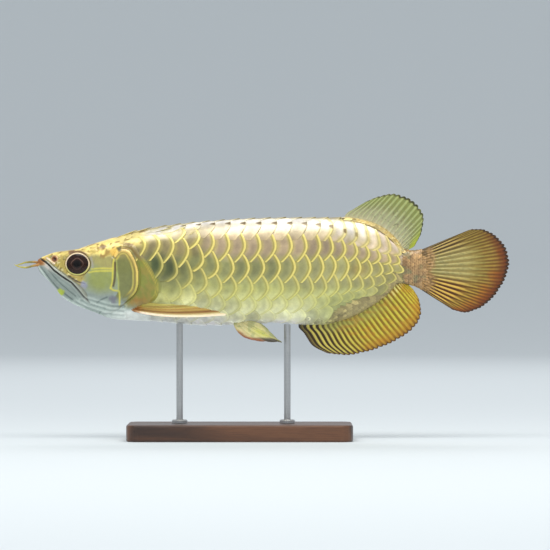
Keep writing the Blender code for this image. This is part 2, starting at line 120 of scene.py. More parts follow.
SHOULDER = (
    (58.0, 30.0), (63.8, 22.0), (70.5, 14.5), (81.0, 13.7), (86.5, 7.0), (94.0, -2.5),
    (99.0, -11.0), (102.5, -20.0), (101.0, -27.9), (96.0, -33.0), (95.0, -56.0),
)
JAW_LINE_OUTER = ((3.7, -4.2), (7.8, -9.3), (13.9, -16.9), (18.1, -21.6), (24.9, -27.1), (31.6, -32.1))
JAW_LINE_INNER = ((10.4, -6.3), (17.3, -14.4), (24.9, -21.6), (33.3, -28.3))
JAW_EDGE = ((1.2, -2.5), (6.3, -9.7), (12.2, -17.8), (19.8, -26.6), (28.2, -32.6), (40.1, -38.1))
OPERCLE_LOW = ((50.0, -45.0), (62.0, -36.0), (69.9, -24.1))
THROAT_FOLDS = (
    ((33.0, -33.5), (46.0, -39.5), (60.0, -43.5), (74.0, -45.0)),
    ((38.4, -32.1), (49.4, -36.4), (62.1, -39.7), (73.9, -41.4)),
    ((43.5, -31.3), (53.6, -34.2), (65.5, -36.9), (74.6, -37.1)),
)
CHIN_STREAK = ((51.5, -34.1), (54.5, -31.8), (60.1, -29.3))
SNOUT_FOLD = ((9.0, 3.9), (11.8, 1.8), (15.4, -1.0))
NOSTRIL = (15.6, 3.1)
HEAD_GOLD_LINE = (
    (0.0, 0.5), (12.0, 3.5), (25.0, 7.0), (46.0, 7.0), (60.0, 5.5), (68.0, 9.0),
    (82.0, 13.0), (110.0, 24.0),
)
# Raised lines of the cheek, each with its height and the strength of its colour
CHEEK_LINES = (
    (CHEEK_LINE_UPPER, 0.18, 0.8), (CHEEK_LINE_LOWER, 0.18, 0.85),
    (CHEEK_EDGE, 0.4, 0.95), (CHEEK_CORNER, 0.3, 0.95),
)
EYE_STREAK = ((46.5, 4.0), (47.8, 0.0), (48.2, -4.0))
# Spots as (s, h), size and colour: on the lower jaw, the cheek, under the eye, on the snout, then from
# the top of the gill cover forwards, and last the gold one over the gill cover
HEAD_SPOTS = (
    ((20.3, -24.9), 2.9, (176, 190, 40)),
    ((65.2, -30.6), 2.8, (112, 112, 120)),
    ((40.6, -18.6), 3.0, (142, 144, 164)),
    ((12.4, 5.2), 1.1, (120, 112, 60)),
    ((70.5, 11.4), 2.0, (78, 70, 32)),
    ((29.9, 9.6), 2.4, (118, 84, 40)),
    ((56.8, 12.8), 2.2, (120, 88, 40)),
    ((65.9, 9.3), 3.2, (228, 186, 84)),
)

# Eyes: the same balls as the solids
EYE_MIDDLE = (35.4, -1.3)
EYE_OFF_CENTRE = 11.7
EYE_HALF_LENGTH = 10.9
EYE_HALF_HEIGHT = 9.9
EYE_DOME = 2.9
EYE_DEPTH_INSIDE = 8.5
EYE_TURN_UP = math.radians(5.0)
EYE_TURN_FORWARD = math.radians(8.0)

# Rows of scales on each flank, as (s, h) of the middles of their free edges
ROWS = {
    "a": ((87.4, 25.2), (102.7, 28.2), (117.0, 30.2), (135.2, 32.0), (161.9, 33.2),
          (214.3, 33.4), (238.0, 32.1), (249.8, 30.4), (262.1, 25.8), (273.5, 22.0),
          (285.3, 16.9), (303.9, 9.3), (318.0, 5.0)),
    "b": ((79.0, 20.3), (90.8, 26.2), (102.7, 28.3), (115.4, 27.9), (128.0, 25.8),
          (139.0, 21.2), (151.5, 16.6), (163.6, 14.4), (216.0, 13.4), (240.5, 13.3),
          (251.9, 12.0), (262.5, 10.6), (272.7, 8.9), (282.8, 6.3), (292.1, 3.8),
          (300.6, 0.8), (318.0, -0.5)),
    "c": ((79.0, 12.7), (91.5, 14.4), (105.2, 15.5), (117.4, 13.9), (130.3, 9.8),
          (142.1, 2.2), (153.8, -3.6), (167.2, -4.8), (206.7, -4.3), (231.2, -4.3),
          (242.2, -4.2), (254.0, -2.9), (265.0, -3.4), (285.8, -6.3), (295.5, -6.8),
          (305.6, -7.2), (318.0, -6.8)),
    "d": ((99.3, -1.7), (109.3, -2.5), (121.4, -8.4), (132.4, -12.4), (144.1, -16.9),
          (156.8, -20.3), (168.6, -21.6), (196.5, -22.0), (233.8, -21.6), (258.3, -20.7),
          (269.7, -20.3), (279.7, -19.5), (290.4, -17.2), (300.6, -14.1), (310.0, -12.4)),
    "e": ((97.6, -17.8), (109.4, -19.5), (121.3, -23.7), (132.3, -27.9), (144.1, -32.1),
          (156.8, -35.1), (180.5, -36.4), (220.2, -35.1), (239.7, -33.8), (253.2, -32.1),
          (265.0, -30.0), (278.2, -26.6), (290.4, -23.1), (300.6, -19.6)),
    "f": ((95.0, -34.0), (109.4, -34.7), (121.3, -38.1), (132.3, -41.4), (144.1, -44.4),
          (156.8, -46.5), (180.5, -47.0), (214.3, -46.1), (231.2, -44.8), (243.9, -42.3),
          (256.6, -38.5), (269.3, -33.8), (282.0, -29.6)),
}
ROW_SHIFT = {"ridge": 0.62, "a": 0.0, "b": 0.0, "c": 0.25, "d": 0.47, "e": 0.72, "f": 0.95, "keel": 0.4}
ROW_SPAN = {
    "ridge": (72.0, 259.0), "a": (92.0, 313.0), "b": (83.0, 315.0), "c": (86.0, 317.0),
    "d": (104.0, 309.0), "e": (112.0, 299.0), "f": (108.0, 258.0), "keel": (104.0, 208.0),
}
RIM_STRENGTH = {"ridge": 0.16, "a": 0.6, "b": 1.0, "c": 1.0, "d": 0.72, "e": 0.34, "f": 0.14, "keel": 0.05}
SPACING = (
    (80.0, 12.2), (150.0, 12.5), (170.0, 13.0), (215.0, 13.1), (235.0, 11.3),
    (262.0, 10.4), (280.0, 9.6), (296.0, 8.9), (312.0, 8.4),
)
SPACING_ORIGIN = 177.3
SCALE_SLOPE = 0.06
SCALE_THICKNESS = 0.24
SCALE_RIM = 1.8
SCALE_STEPS = (22, 30)
SMALL_SCALE_STEPS = (7, 9)
PLATE_SHARP = 45.0

# Fins: outer margins as (s, h), or (s, h, out) for the paired ones
FIN_SUNK = 3.0
DORSAL_BASE = (259.0, 311.0)
DORSAL_LEAD = ((259.0, 35.7), (262.0, 41.5), (267.5, 45.0), (279.0, 51.8))
DORSAL_MARGIN = (
    (279.0, 51.8), (290.0, 56.2), (301.0, 58.3), (311.0, 56.2), (319.0, 51.6),
    (325.0, 45.0), (327.4, 38.0), (326.0, 27.0), (319.5, 13.6),
)
DORSAL_CROWDING = ((0.0, 0.0), (0.34, 0.5), (0.55, 0.78), (0.75, 0.92), (1.0, 1.0))
ANAL_BASE = (221.5, 311.0)
ANAL_LEAD = ((221.5, -50.2), (221.5, -53.8), (226.0, -59.5), (233.5, -70.2), (246.0, -76.8))
ANAL_MARGIN = (
    (246.0, -76.8), (262.0, -78.3), (280.0, -75.2), (298.0, -68.9), (313.0, -60.4),
    (322.0, -51.5), (325.3, -42.0), (323.5, -31.5), (318.5, -22.5),
)
ANAL_CROWDING = ((0.0, 0.0), (0.16, 0.25), (0.38, 0.5), (0.6, 0.74), (0.79, 0.91), (1.0, 1.0))
CAUDAL_ROOT = ((326.0, 11.3), (326.0, -23.6))
CAUDAL_MARGIN = (
    (362.0, 26.2), (369.0, 28.4), (376.5, 28.4), (384.0, 25.8), (391.0, 20.3),
    (397.0, 12.5), (400.0, 1.0), (397.9, -9.4), (393.0, -20.4), (384.5, -31.2),
    (373.0, -39.4), (362.5, -42.3), (352.0, -40.0),
)
PECTORAL_ROOT = ((80.0, -40.5, 8.5), (87.0, -33.5, 11.5))
PECTORAL_MARGIN = (
    (162.5, -43.8, 48.5), (160.5, -42.8, 43.0), (154.0, -40.8, 36.0), (143.5, -38.5, 29.5),
    (130.0, -36.3, 23.5), (115.0, -35.2, 19.0), (102.0, -34.4, 17.0),
)
PECTORAL_BOW = (-6.0, -3.4, 9.0)
PELVIC_ROOT = ((166.0, -50.4, 3.0), (175.5, -47.0, 4.0))
PELVIC_MARGIN = (
    (176.5, -63.6, 10.5), (186.5, -66.2, 12.0), (197.5, -67.0, 12.8), (207.8, -67.6, 13.2),
    (200.5, -61.6, 10.6), (196.0, -56.6, 8.8), (190.5, -51.8, 7.6),
)
PELVIC_BOW = (-1.4, -1.2, 0.6)

BARBEL_ROUTES = {
    "left": ((3.6, -1.6, 2.6), (-3.0, -2.8, 3.6), (-9.0, -4.2, 5.2), (-14.0, -3.6, 6.8), (-18.5, -1.6, 8.0)),
    "right": ((3.6, -0.6, 2.6), (-3.0, 0.5, 3.6), (-9.0, 0.2, 5.2), (-14.0, -1.2, 6.8), (-18.5, -2.6, 8.0)),
}

# Colours, as they look on a screen, 0 to 255
RIDGE_OLIVE = (150, 134, 82)
# Pale cream of the back, made paler still as a painted highlight along the top of the flank
BACK_CREAM_HIGHLIGHT = (250, 243, 232)
BACK_BEIGE = (212, 194, 156)
FLANK_ROSE = (176, 154, 122)
FLANK_GREEN = (140, 140, 90)
FLANK_DARK = (96, 98, 50)
FLANK_YELLOW = (184, 184, 110)
FLANK_PALE = (228, 226, 164)
# Silver of the lower flank, painted lighter than its own colour as painted light from below
FLANK_SILVER_AND_PAINTED_LIGHT = (240, 240, 198)
FLANK_OLIVE = (170, 170, 92)
# Silver of the belly, painted lighter than its own colour as painted light from below
BELLY_SILVER_AND_PAINTED_LIGHT = (250, 252, 246)
TAIL_CREAM = (206, 178, 136)
TAIL_OLIVE = (160, 148, 92)
RIM_GOLD = (222, 204, 112)
RIM_LINE = (136, 128, 48)
TAIL_ROSE = (148, 116, 74)
TAIL_SPECK = (120, 86, 52)
HEAD_GOLD = (236, 214, 124)
SNOUT_OLIVE = (172, 152, 74)
CHEEK_OLIVE = (156, 148, 88)
CHEEK_GREEN = (138, 144, 72)
JAW_SILVER = (138, 148, 140)
THROAT_SILVER = (154, 168, 160)
LINE_YELLOW = (206, 194, 74)
OPERCLE_GREEN = (112, 114, 60)
OPERCLE_RIM = (226, 192, 104)
SHOULDER_GREEN = (124, 126, 46)
DARK_BROWN = (66, 46, 30)
MOUTH_DARK = (44, 40, 38)
PALE_LIP = (206, 196, 184)
JAW_TIP = (150, 92, 34)

# Skin of the head
JAW_STREAK = (108, 120, 116)
CHEEK_BROWN = (132, 122, 84)
SNOUT_BROWN = (104, 88, 34)
SNOUT_PALE = (226, 214, 160)
SPECK_BROWN = (124, 88, 42)
HEAD_OCHRE = (166, 140, 66)
OPERCLE_TOP = (150, 136, 84)
FLAP_OCHRE = (150, 124, 56)
FLAP_GREY = (122, 112, 70)
FLAP_ORANGE = (160, 108, 40)
FLAP_EDGE = (196, 172, 66)
FLAP_SHADE = (128, 96, 48)
RIM_LOW = (200, 184, 84)
RIM_INSIDE = (150, 130, 62)
RIM_INNER = (198, 182, 84)
COVER_LINE = (92, 84, 40)
COVER_GAP = (110, 92, 44)
COVER_FRONT = (176, 182, 96)
MAXILLA_GREY = (136, 138, 122)
MAXILLA_PALE = (204, 206, 190)
BONE_LINE = (98, 94, 74)
UNDER_EYE_BROWN = (74, 64, 56)
JAW_LINE = (78, 92, 88)
JAW_EDGE_PALE = (214, 224, 214)
FOLD_SHADE = (124, 136, 130)
FOLD_HIGHLIGHT = (214, 222, 212)
SNOUT_FOLD_PALE = (236, 214, 196)
NOSTRIL_RING = (196, 168, 120)
NOSTRIL_EDGE = (120, 64, 36)
NOSTRIL_HOLE = (70, 40, 26)
STREAK_GREY = (150, 146, 138)
EYE_ROUND = (150, 132, 76)
EYE_BROW = (96, 62, 44)

# Flanks and scales
FLANK_BROWN = (130, 118, 72)
CELL_SHADE = (62, 74, 40)
REAR_BEIGE = (172, 166, 112)
REAR_YELLOW = (174, 176, 102)
REAR_PINK = (236, 220, 220)
REAR_GOLD = (196, 158, 74)
RIM_LOWER = (208, 206, 112)
RIM_HALO_AND_SHADE = (170, 158, 76)
WEDGE_BROWN = (98, 78, 44)
TAIL_TAN = (180, 142, 94)
TAIL_GREY = (112, 108, 72)
TAIL_EDGE = (196, 164, 116)
SHEATH_GOLD = (204, 178, 104)
SHEATH_EDGE = (238, 222, 168)
SHEATH_PALE = (236, 214, 150)
SHEATH_LINE = (150, 112, 54)
STRIP_BROWN = (158, 138, 90)
STRIP_EDGE = (182, 166, 112)
STRIP_LINE = (138, 120, 78)

# Fins, from their webs and rays to their margins
DORSAL_WEB = (146, 146, 114)
DORSAL_GREEN = (128, 142, 74)
DORSAL_RAY = (172, 178, 124)
DORSAL_GAP = (92, 98, 52)
DORSAL_DOT = (104, 100, 74)
DORSAL_REAR = (150, 162, 44)
DORSAL_ROOT = (176, 170, 140)
DORSAL_FOOT = (180, 150, 82)
DORSAL_EDGE = (50, 54, 30)
ANAL_GAP = (116, 92, 24)
ANAL_GAP_FRONT = (38, 28, 10)
ANAL_GAP_REAR = (150, 122, 24)
ANAL_RAY = (184, 172, 60)
ANAL_RAY_FRONT = (186, 174, 84)
ANAL_RAY_REAR = (190, 174, 56)
ANAL_GREEN = (150, 150, 82)
ANAL_ORANGE = (180, 112, 36)
ANAL_OUTER = (158, 104, 26)
ANAL_ROOT = (240, 228, 170)
ANAL_TIP_GAP = (60, 38, 18)
ANAL_EDGE = (62, 36, 16)
ANAL_FIRST_RAY = (40, 30, 18)
CAUDAL_RAY = (166, 154, 96)
CAUDAL_RAY_LOW = (200, 164, 74)
CAUDAL_RAY_HIGH = (172, 148, 82)
CAUDAL_GAP = (128, 116, 66)
CAUDAL_GAP_LOW = (66, 38, 10)
CAUDAL_GAP_HIGH = (56, 42, 18)
CAUDAL_GRAIN = (112, 108, 70)
CAUDAL_OLIVE = (120, 104, 26)
CAUDAL_ORANGE = (146, 80, 22)
CAUDAL_HIGH = (112, 98, 40)
CAUDAL_TIP_GAP = (80, 50, 18)
CAUDAL_FLESH = (148, 116, 72)
CAUDAL_FLESH_LIGHT = (186, 148, 102)
CAUDAL_FLESH_DARK = (100, 80, 50)
CAUDAL_RED = (84, 36, 14)
CAUDAL_EDGE = (36, 26, 18)
CAUDAL_SIDE_RAY = (52, 42, 28)
PECTORAL_WEB = (150, 138, 68)
PECTORAL_RAY = (176, 168, 90)
PECTORAL_LEAD = (244, 224, 202)
PECTORAL_GAP_SHADE = (112, 68, 34)
PECTORAL_TAN = (158, 116, 60)
PECTORAL_THIN_LINE = (118, 82, 40)
PECTORAL_FOOT = (150, 92, 38)
PELVIC_WEB = (182, 172, 122)
PELVIC_YELLOW = (164, 168, 60)
PELVIC_RAY = (178, 176, 130)
PELVIC_OUTER = (100, 108, 62)
PELVIC_GREEN = (124, 132, 84)
PELVIC_BROWN = (122, 66, 40)
PELVIC_TIP = (38, 34, 24)

# Eyes, barbels, stand and floor
IRIS = (34, 16, 10)
IRIS_FLECK = (62, 34, 22)
IRIS_RING = (140, 112, 100)
IRIS_EDGE = (12, 7, 6)
PUPIL = (7, 5, 5)
PUPIL_MIDDLE = (10, 7, 7)
EYE_RIM = (222, 200, 168)
EYE_RIM_LOW = (192, 188, 108)
EYE_SOCKET = (168, 150, 92)
EYE_BACK = (40, 30, 25)
BARBEL_ROOT = (160, 112, 48)
BARBEL_TIP = (172, 160, 64)
BARBEL_BAND = (96, 84, 34)
WOOD_DARK = (44, 26, 17)
WOOD_LIGHT = (98, 62, 38)
FLOOR_GREY = (206, 213, 216)


def smooth(points, x):
    """Heights at x of the smooth curve through points, which never overshoots them."""
    xs, ys = np.array(points, float).T
    steps = np.diff(xs)
    rises = np.diff(ys) / steps
    slopes = np.empty(len(xs))
    slopes[0] = rises[0]
    slopes[-1] = rises[-1]
    before = rises[:-1]
    after = rises[1:]
    near = 2 * steps[1:] + steps[:-1]
    far = steps[1:] + 2 * steps[:-1]
    same_way = before * after > 0
    safe_before = np.where(same_way, before, 1.0)
    safe_after = np.where(same_way, after, 1.0)
    slopes[1:-1] = np.where(same_way, (near + far) / (near / safe_before + far / safe_after), 0.0)
    x = np.clip(x, xs[0], xs[-1])
    i = np.clip(np.searchsorted(xs, x, side="right") - 1, 0, len(steps) - 1)
    t = (x - xs[i]) / steps[i]
    return (
        ys[i] * (1 + 2 * t) * (1 - t) ** 2
        + ys[i + 1] * t * t * (3 - 2 * t)
        + steps[i] * (slopes[i] * t * (1 - t) ** 2 - slopes[i + 1] * t * t * (1 - t))
    )


def along(points, t):
    """Places at shares t of the smooth line through points, by its length."""
    points = np.array(points, float)
    reach = np.concatenate([[0.0], np.cumsum(np.linalg.norm(np.diff(points, axis=0), axis=1))])
    x = np.asarray(t) * reach[-1]
    return np.stack([smooth(np.stack([reach, points[:, k]], 1), x) for k in range(points.shape[1])], -1)


def ramp(x, low, high):
    """0 below low, 1 above high, and smooth between."""
    t = np.clip((x - low) / (high - low), 0.0, 1.0)
    return t * t * (3 - 2 * t)


def bell(x, width):
    return np.exp(-((x / width) ** 2))


def mix(a, b, share):
    """Colours a with a share of colour b."""
    share = np.asarray(share)[..., None]
    return a * (1 - share) + np.asarray(b, float) * share


def filled(like, colour):
    """One colour for every place of the array like."""
    return np.zeros(np.shape(like) + (3,)) + colour


def world(place):
    """World positions in metres of places given as (s, out, h) in millimetres."""
    return np.stack([place[..., 0] - SNOUT_TO_STAND, place[..., 1], place[..., 2] + SNOUT_HEIGHT], -1) * MM


def distance(line, s, h):
    """Distance from each (s, h) to a line of points, which is smoothed first."""
    line = along(line, np.linspace(0, 1, 4 * len(line)))
    best = np.full(np.shape(s), np.inf)
    for a, b in zip(line, line[1:]):
        d = b - a
        t = np.clip(((s - a[0]) * d[0] + (h - a[1]) * d[1]) / (d @ d), 0, 1)
        best = np.minimum(best, np.hypot(s - a[0] - t * d[0], h - a[1] - t * d[1]))
    return best


def cloud(s, h, size, seed):
    """Soft uneven patches of about the given sizes along s and h, from 0 to 1."""
    grid = np.random.default_rng(seed).random((97, 97))
    x = np.asarray(s) / size[0]
    y = np.asarray(h) / size[1] + 31.0
    i = np.floor(x).astype(int)
    j = np.floor(y).astype(int)
    fx = x - i
    fy = y - j
    fx = fx * fx * (3 - 2 * fx)
    fy = fy * fy * (3 - 2 * fy)
    near = grid[i % 97, j % 97] * (1 - fx) + grid[(i + 1) % 97, j % 97] * fx
    far = grid[i % 97, (j + 1) % 97] * (1 - fx) + grid[(i + 1) % 97, (j + 1) % 97] * fx
    return near * (1 - fy) + far * fy


def blotch(s, h, place, size):
    """1 at a place and fading out over the half sizes along s and h."""
    return bell(np.hypot((s - place[0]) / size[0], (h - place[1]) / size[1]), 1.0)


def inside(outline, s, h):
    """True where (s, h) is inside a closed outline."""
    found = np.zeros(np.shape(s), bool)
    for a, b in zip(outline, np.roll(outline, -1, axis=0)):
        crosses = (a[1] > h) != (b[1] > h)
        at = a[0] + (h - a[1]) * (b[0] - a[0]) / (b[1] - a[1] + 1e-12)
        found ^= crosses & (s < at)
    return found


def outline_of(*lines):
    return np.concatenate([along(line, np.linspace(0, 1, 4 * len(line))) for line in lines])


# Table of the body's surface
TABLE_S = np.concatenate([np.arange(0.0, 3.0, 0.1), np.arange(3.0, 90.0, 0.5), np.arange(90.0, 329.0, 1.0)])
TABLE_T = np.linspace(0.0, 1.0, 401)


def body_table():
    angle = np.linspace(math.pi / 2, -math.pi / 2, 1601)
    outs = []
    heights = []
    girths = []
    for s in TABLE_S:
        top = smooth(BACK, s)
        bottom = smooth(BELLY, s)
        level = bottom + (top - bottom) * smooth(WIDEST, s)
        up = angle >= 0
        bend = np.where(up, 2.0 / smooth(ROUND_ABOVE, s), 2.0 / smooth(ROUND_BELOW, s))
        out = smooth(HALF_WIDTH, s) * np.abs(np.cos(angle)) ** bend
        rise = np.sign(np.sin(angle)) * np.abs(np.sin(angle)) ** bend
        h = level + np.where(up, top - level, level - bottom) * rise
        nose = 1.0 - min(s / NOSE_ROUNDING, 1.0)
        shrink = math.sqrt(max(1.0 - nose * nose, 0.0))
        out = out * shrink
        h = (top + bottom) / 2 + (h - (top + bottom) / 2) * shrink
        reach = np.concatenate([[0.0], np.cumsum(np.hypot(np.diff(out), np.diff(h)))])
        girths.append(reach[-1])
        share = reach / max(reach[-1], 1e-9)
        outs.append(np.interp(TABLE_T, share, out))
        heights.append(np.interp(TABLE_T, share, h))
    return np.array(outs), np.array(heights), np.array(girths)


TABLE_OUT, TABLE_H, TABLE_GIRTH = body_table()


def girth(s):
    """Length of the way round one flank, from ridge to keel."""
    return np.interp(s, TABLE_S, TABLE_GIRTH)


def body(s, t, side):
    """Places (s, out, h) on the body. A t past either end runs on over the other flank."""
    s, t = np.broadcast_arrays(np.asarray(s, float), np.asarray(t, float))
    across = np.where((t < 0) | (t > 1), -1.0, 1.0)
    t = np.abs(t)
    t = np.clip(np.where(t > 1, 2 - t, t), 0.0, 1.0)
    i = np.clip(np.searchsorted(TABLE_S, s, side="right") - 1, 0, len(TABLE_S) - 2)
    j = np.clip((t * (len(TABLE_T) - 1)).astype(int), 0, len(TABLE_T) - 2)
    fs = (s - TABLE_S[i]) / (TABLE_S[i + 1] - TABLE_S[i])
    ft = t * (len(TABLE_T) - 1) - j

    def pick(table):
        near = table[i, j] * (1 - ft) + table[i, j + 1] * ft
        far = table[i + 1, j] * (1 - ft) + table[i + 1, j + 1] * ft
        return near * (1 - fs) + far * fs

    return np.stack([s, side * across * pick(TABLE_OUT), pick(TABLE_H)], -1)


def outward(s, t, side):
    """Unit vectors (s, out, h) that point out of the body."""
    step = 0.4
    dt = step / np.maximum(girth(s), 2.0)
    a = body(s + step, t, side) - body(s - step, t, side)
    b = body(s, t + dt, side) - body(s, t - dt, side)
    n = np.cross(a, b) * side
    return n / np.maximum(np.linalg.norm(n, axis=-1, keepdims=True), 1e-9)


def share_at(s, h):
    """The t at which the flank has height h, at each s."""
    s, h = np.broadcast_arrays(np.asarray(s, float), np.asarray(h, float))
    i = np.clip(np.searchsorted(TABLE_S, s), 0, len(TABLE_S) - 1)
    flat = [np.interp(-y, -TABLE_H[k], TABLE_T) for k, y in zip(i.ravel(), h.ravel())]
    return np.array(flat).reshape(s.shape)


# Colours that skin and scales share
EVEN_SHARES = (0.0, 0.056, 0.173, 0.337, 0.538, 0.754, 0.93, 1.0)


def row_level(s, h):
    """0 on the ridge, 1 on row a, 2 on row b and so on to 7 on the keel."""
    lines = [smooth(BACK, s)] + [smooth(ROWS[row], s) for row in "abcdef"] + [smooth(BELLY, s)]
    level = np.zeros(np.shape(s))
    for upper, lower in zip(lines, lines[1:]):
        level += np.clip((upper - h) / np.maximum(upper - lower, 0.8), 0.0, 1.0)
    share = (h - lines[-1]) / np.maximum(lines[0] - lines[-1], 1.0)
    even = np.interp(share, EVEN_SHARES, tuple(range(7, -1, -1)))
    blend = ramp(s, 112.0, 150.0)
    return even * (1 - blend) + level * blend


FLANK_LEVELS = (0.0, 0.35, 0.8, 1.35, 1.75, 2.3, 2.8, 3.3, 4.0, 5.0, 6.0, 7.0)
# Bands from ridge to keel: the pale cream next to row a is partly a painted highlight, which fades out
# towards row b
FLANK_COLOURS = (
    RIDGE_OLIVE, BACK_CREAM_HIGHLIGHT, BACK_CREAM_HIGHLIGHT, BACK_BEIGE, FLANK_ROSE, FLANK_ROSE, FLANK_GREEN,
    # the silver bands at the keel end are partly painted light from below
    FLANK_GREEN, FLANK_YELLOW, FLANK_PALE, FLANK_SILVER_AND_PAINTED_LIGHT, BELLY_SILVER_AND_PAINTED_LIGHT,
)
# Two dark scales behind the gill cover: place, half sizes and strength
DARK_SCALES = (((101.5, -1.0), (9.0, 9.5), 0.95), ((114.5, -4.5), (7.0, 8.0), 0.6))


def flank_colour(s, h, way):
    """Colour of the trunk at each place, from the olive ridge to the silver belly.

    way is the distance down the flank from the ridge.
    """
    level = row_level(s, h)
    bands = np.array(FLANK_COLOURS, float)
    c = np.stack([np.interp(level, FLANK_LEVELS, bands[:, k]) for k in range(3)], -1)
    middle = ramp(level, 1.5, 2.2) * ramp(4.6 - level, 0.0, 0.9)
    c = mix(c, FLANK_BROWN, 0.8 * ramp(level, 1.0, 1.6) * ramp(h, 2.0, 8.0) * ramp(150.0 - s, 0.0, 20.0))
    c = mix(c, FLANK_DARK, 0.4 * middle * ramp(152.0 - s, 0.0, 34.0) * ramp(9.0 - h, 0.0, 6.0))
    for place, size, share in DARK_SCALES:
        c = mix(c, CELL_SHADE, share * blotch(s, h, place, size))
    lower = ramp(level, 4.0, 5.0)
    c = mix(c, FLANK_OLIVE, 0.5 * lower * ramp(5.9 - level, 0.0, 0.8) * ramp(128.0 - s, 0.0, 30.0))
    rear = ramp(s, 262.0, 300.0)
    c = mix(c, REAR_BEIGE, 0.8 * ramp(level, 2.2, 2.8) * ramp(4.4 - level, 0.0, 0.8) * ramp(s, 186.0, 244.0))
    c = mix(c, TAIL_CREAM, rear * ramp(2.6 - level, 0.0, 0.8) * 0.8)
    c = mix(c, REAR_YELLOW, 0.8 * lower * ramp(s, 216.0, 254.0))
    pink = ramp(cloud(s, way, (4.0, 5.0), 12), 0.3, 0.7)
    c = mix(c, REAR_PINK, 0.35 * ramp(2.2 - level, 0.0, 0.9) * ramp(s, 238.0, 262.0) * pink)
    # Front of the belly: silver, lightened further as painted light from below over the pectoral fin's
    # shadow
    c = mix(c, BELLY_SILVER_AND_PAINTED_LIGHT, 0.85 * ramp(-44.0 - h, 0.0, 2.5) * ramp(172.0 - s, 0.0, 24.0))
    nape = ramp(98.0 - s, 0.0, 12.0) * ramp(h, 10.0, 16.0)
    c = mix(c, HEAD_GOLD, 0.9 * nape)
    c = mix(c, SPECK_BROWN, 0.75 * nape * ramp(cloud(s, way, (2.6, 2.2), 3), 0.6, 0.85))
    c = mix(c, TAIL_OLIVE, rear * ramp(level, 2.2, 2.8) * 0.75)
    c = mix(c, REAR_GOLD, 0.6 * blotch(s, h, (272.5, -6.0), (6.0, 5.5)))
    patchy = 0.93 + 0.14 * cloud(s, way, (3.1, 3.7), 11)
    return c * patchy[..., None]


def head_share(s, h):
    """1 on the head and the bare shoulder behind the gill covers, 0 under the scales."""
    zone = outline_of(SHOULDER, ((95.0, -70.0), (-20.0, -70.0), (-20.0, 60.0), (58.0, 60.0)))
    d = distance(SHOULDER, s, h)
    return ramp(np.where(inside(zone, s, h), d, -d), -5.0, 1.0)


def eye_radius(s, h):
    """Distance from the eye's middle as a share of its outline."""
    return np.hypot((s - EYE_MIDDLE[0]) / EYE_HALF_LENGTH, (h - EYE_MIDDLE[1]) / EYE_HALF_HEIGHT)


OPERCLE = outline_of(OPERCLE_REAR, OPERCLE_LOW, OPERCLE_FRONT[::-1])
MAXILLA = outline_of(MAXILLA_TOP, MOUTH[:1:-1])


def below_mouth(s, h):
    """Above 0 under the line of the mouth, in millimetres."""
    line = np.array(MOUTH)
    return np.interp(s, line[:, 0], line[:, 1]) - h


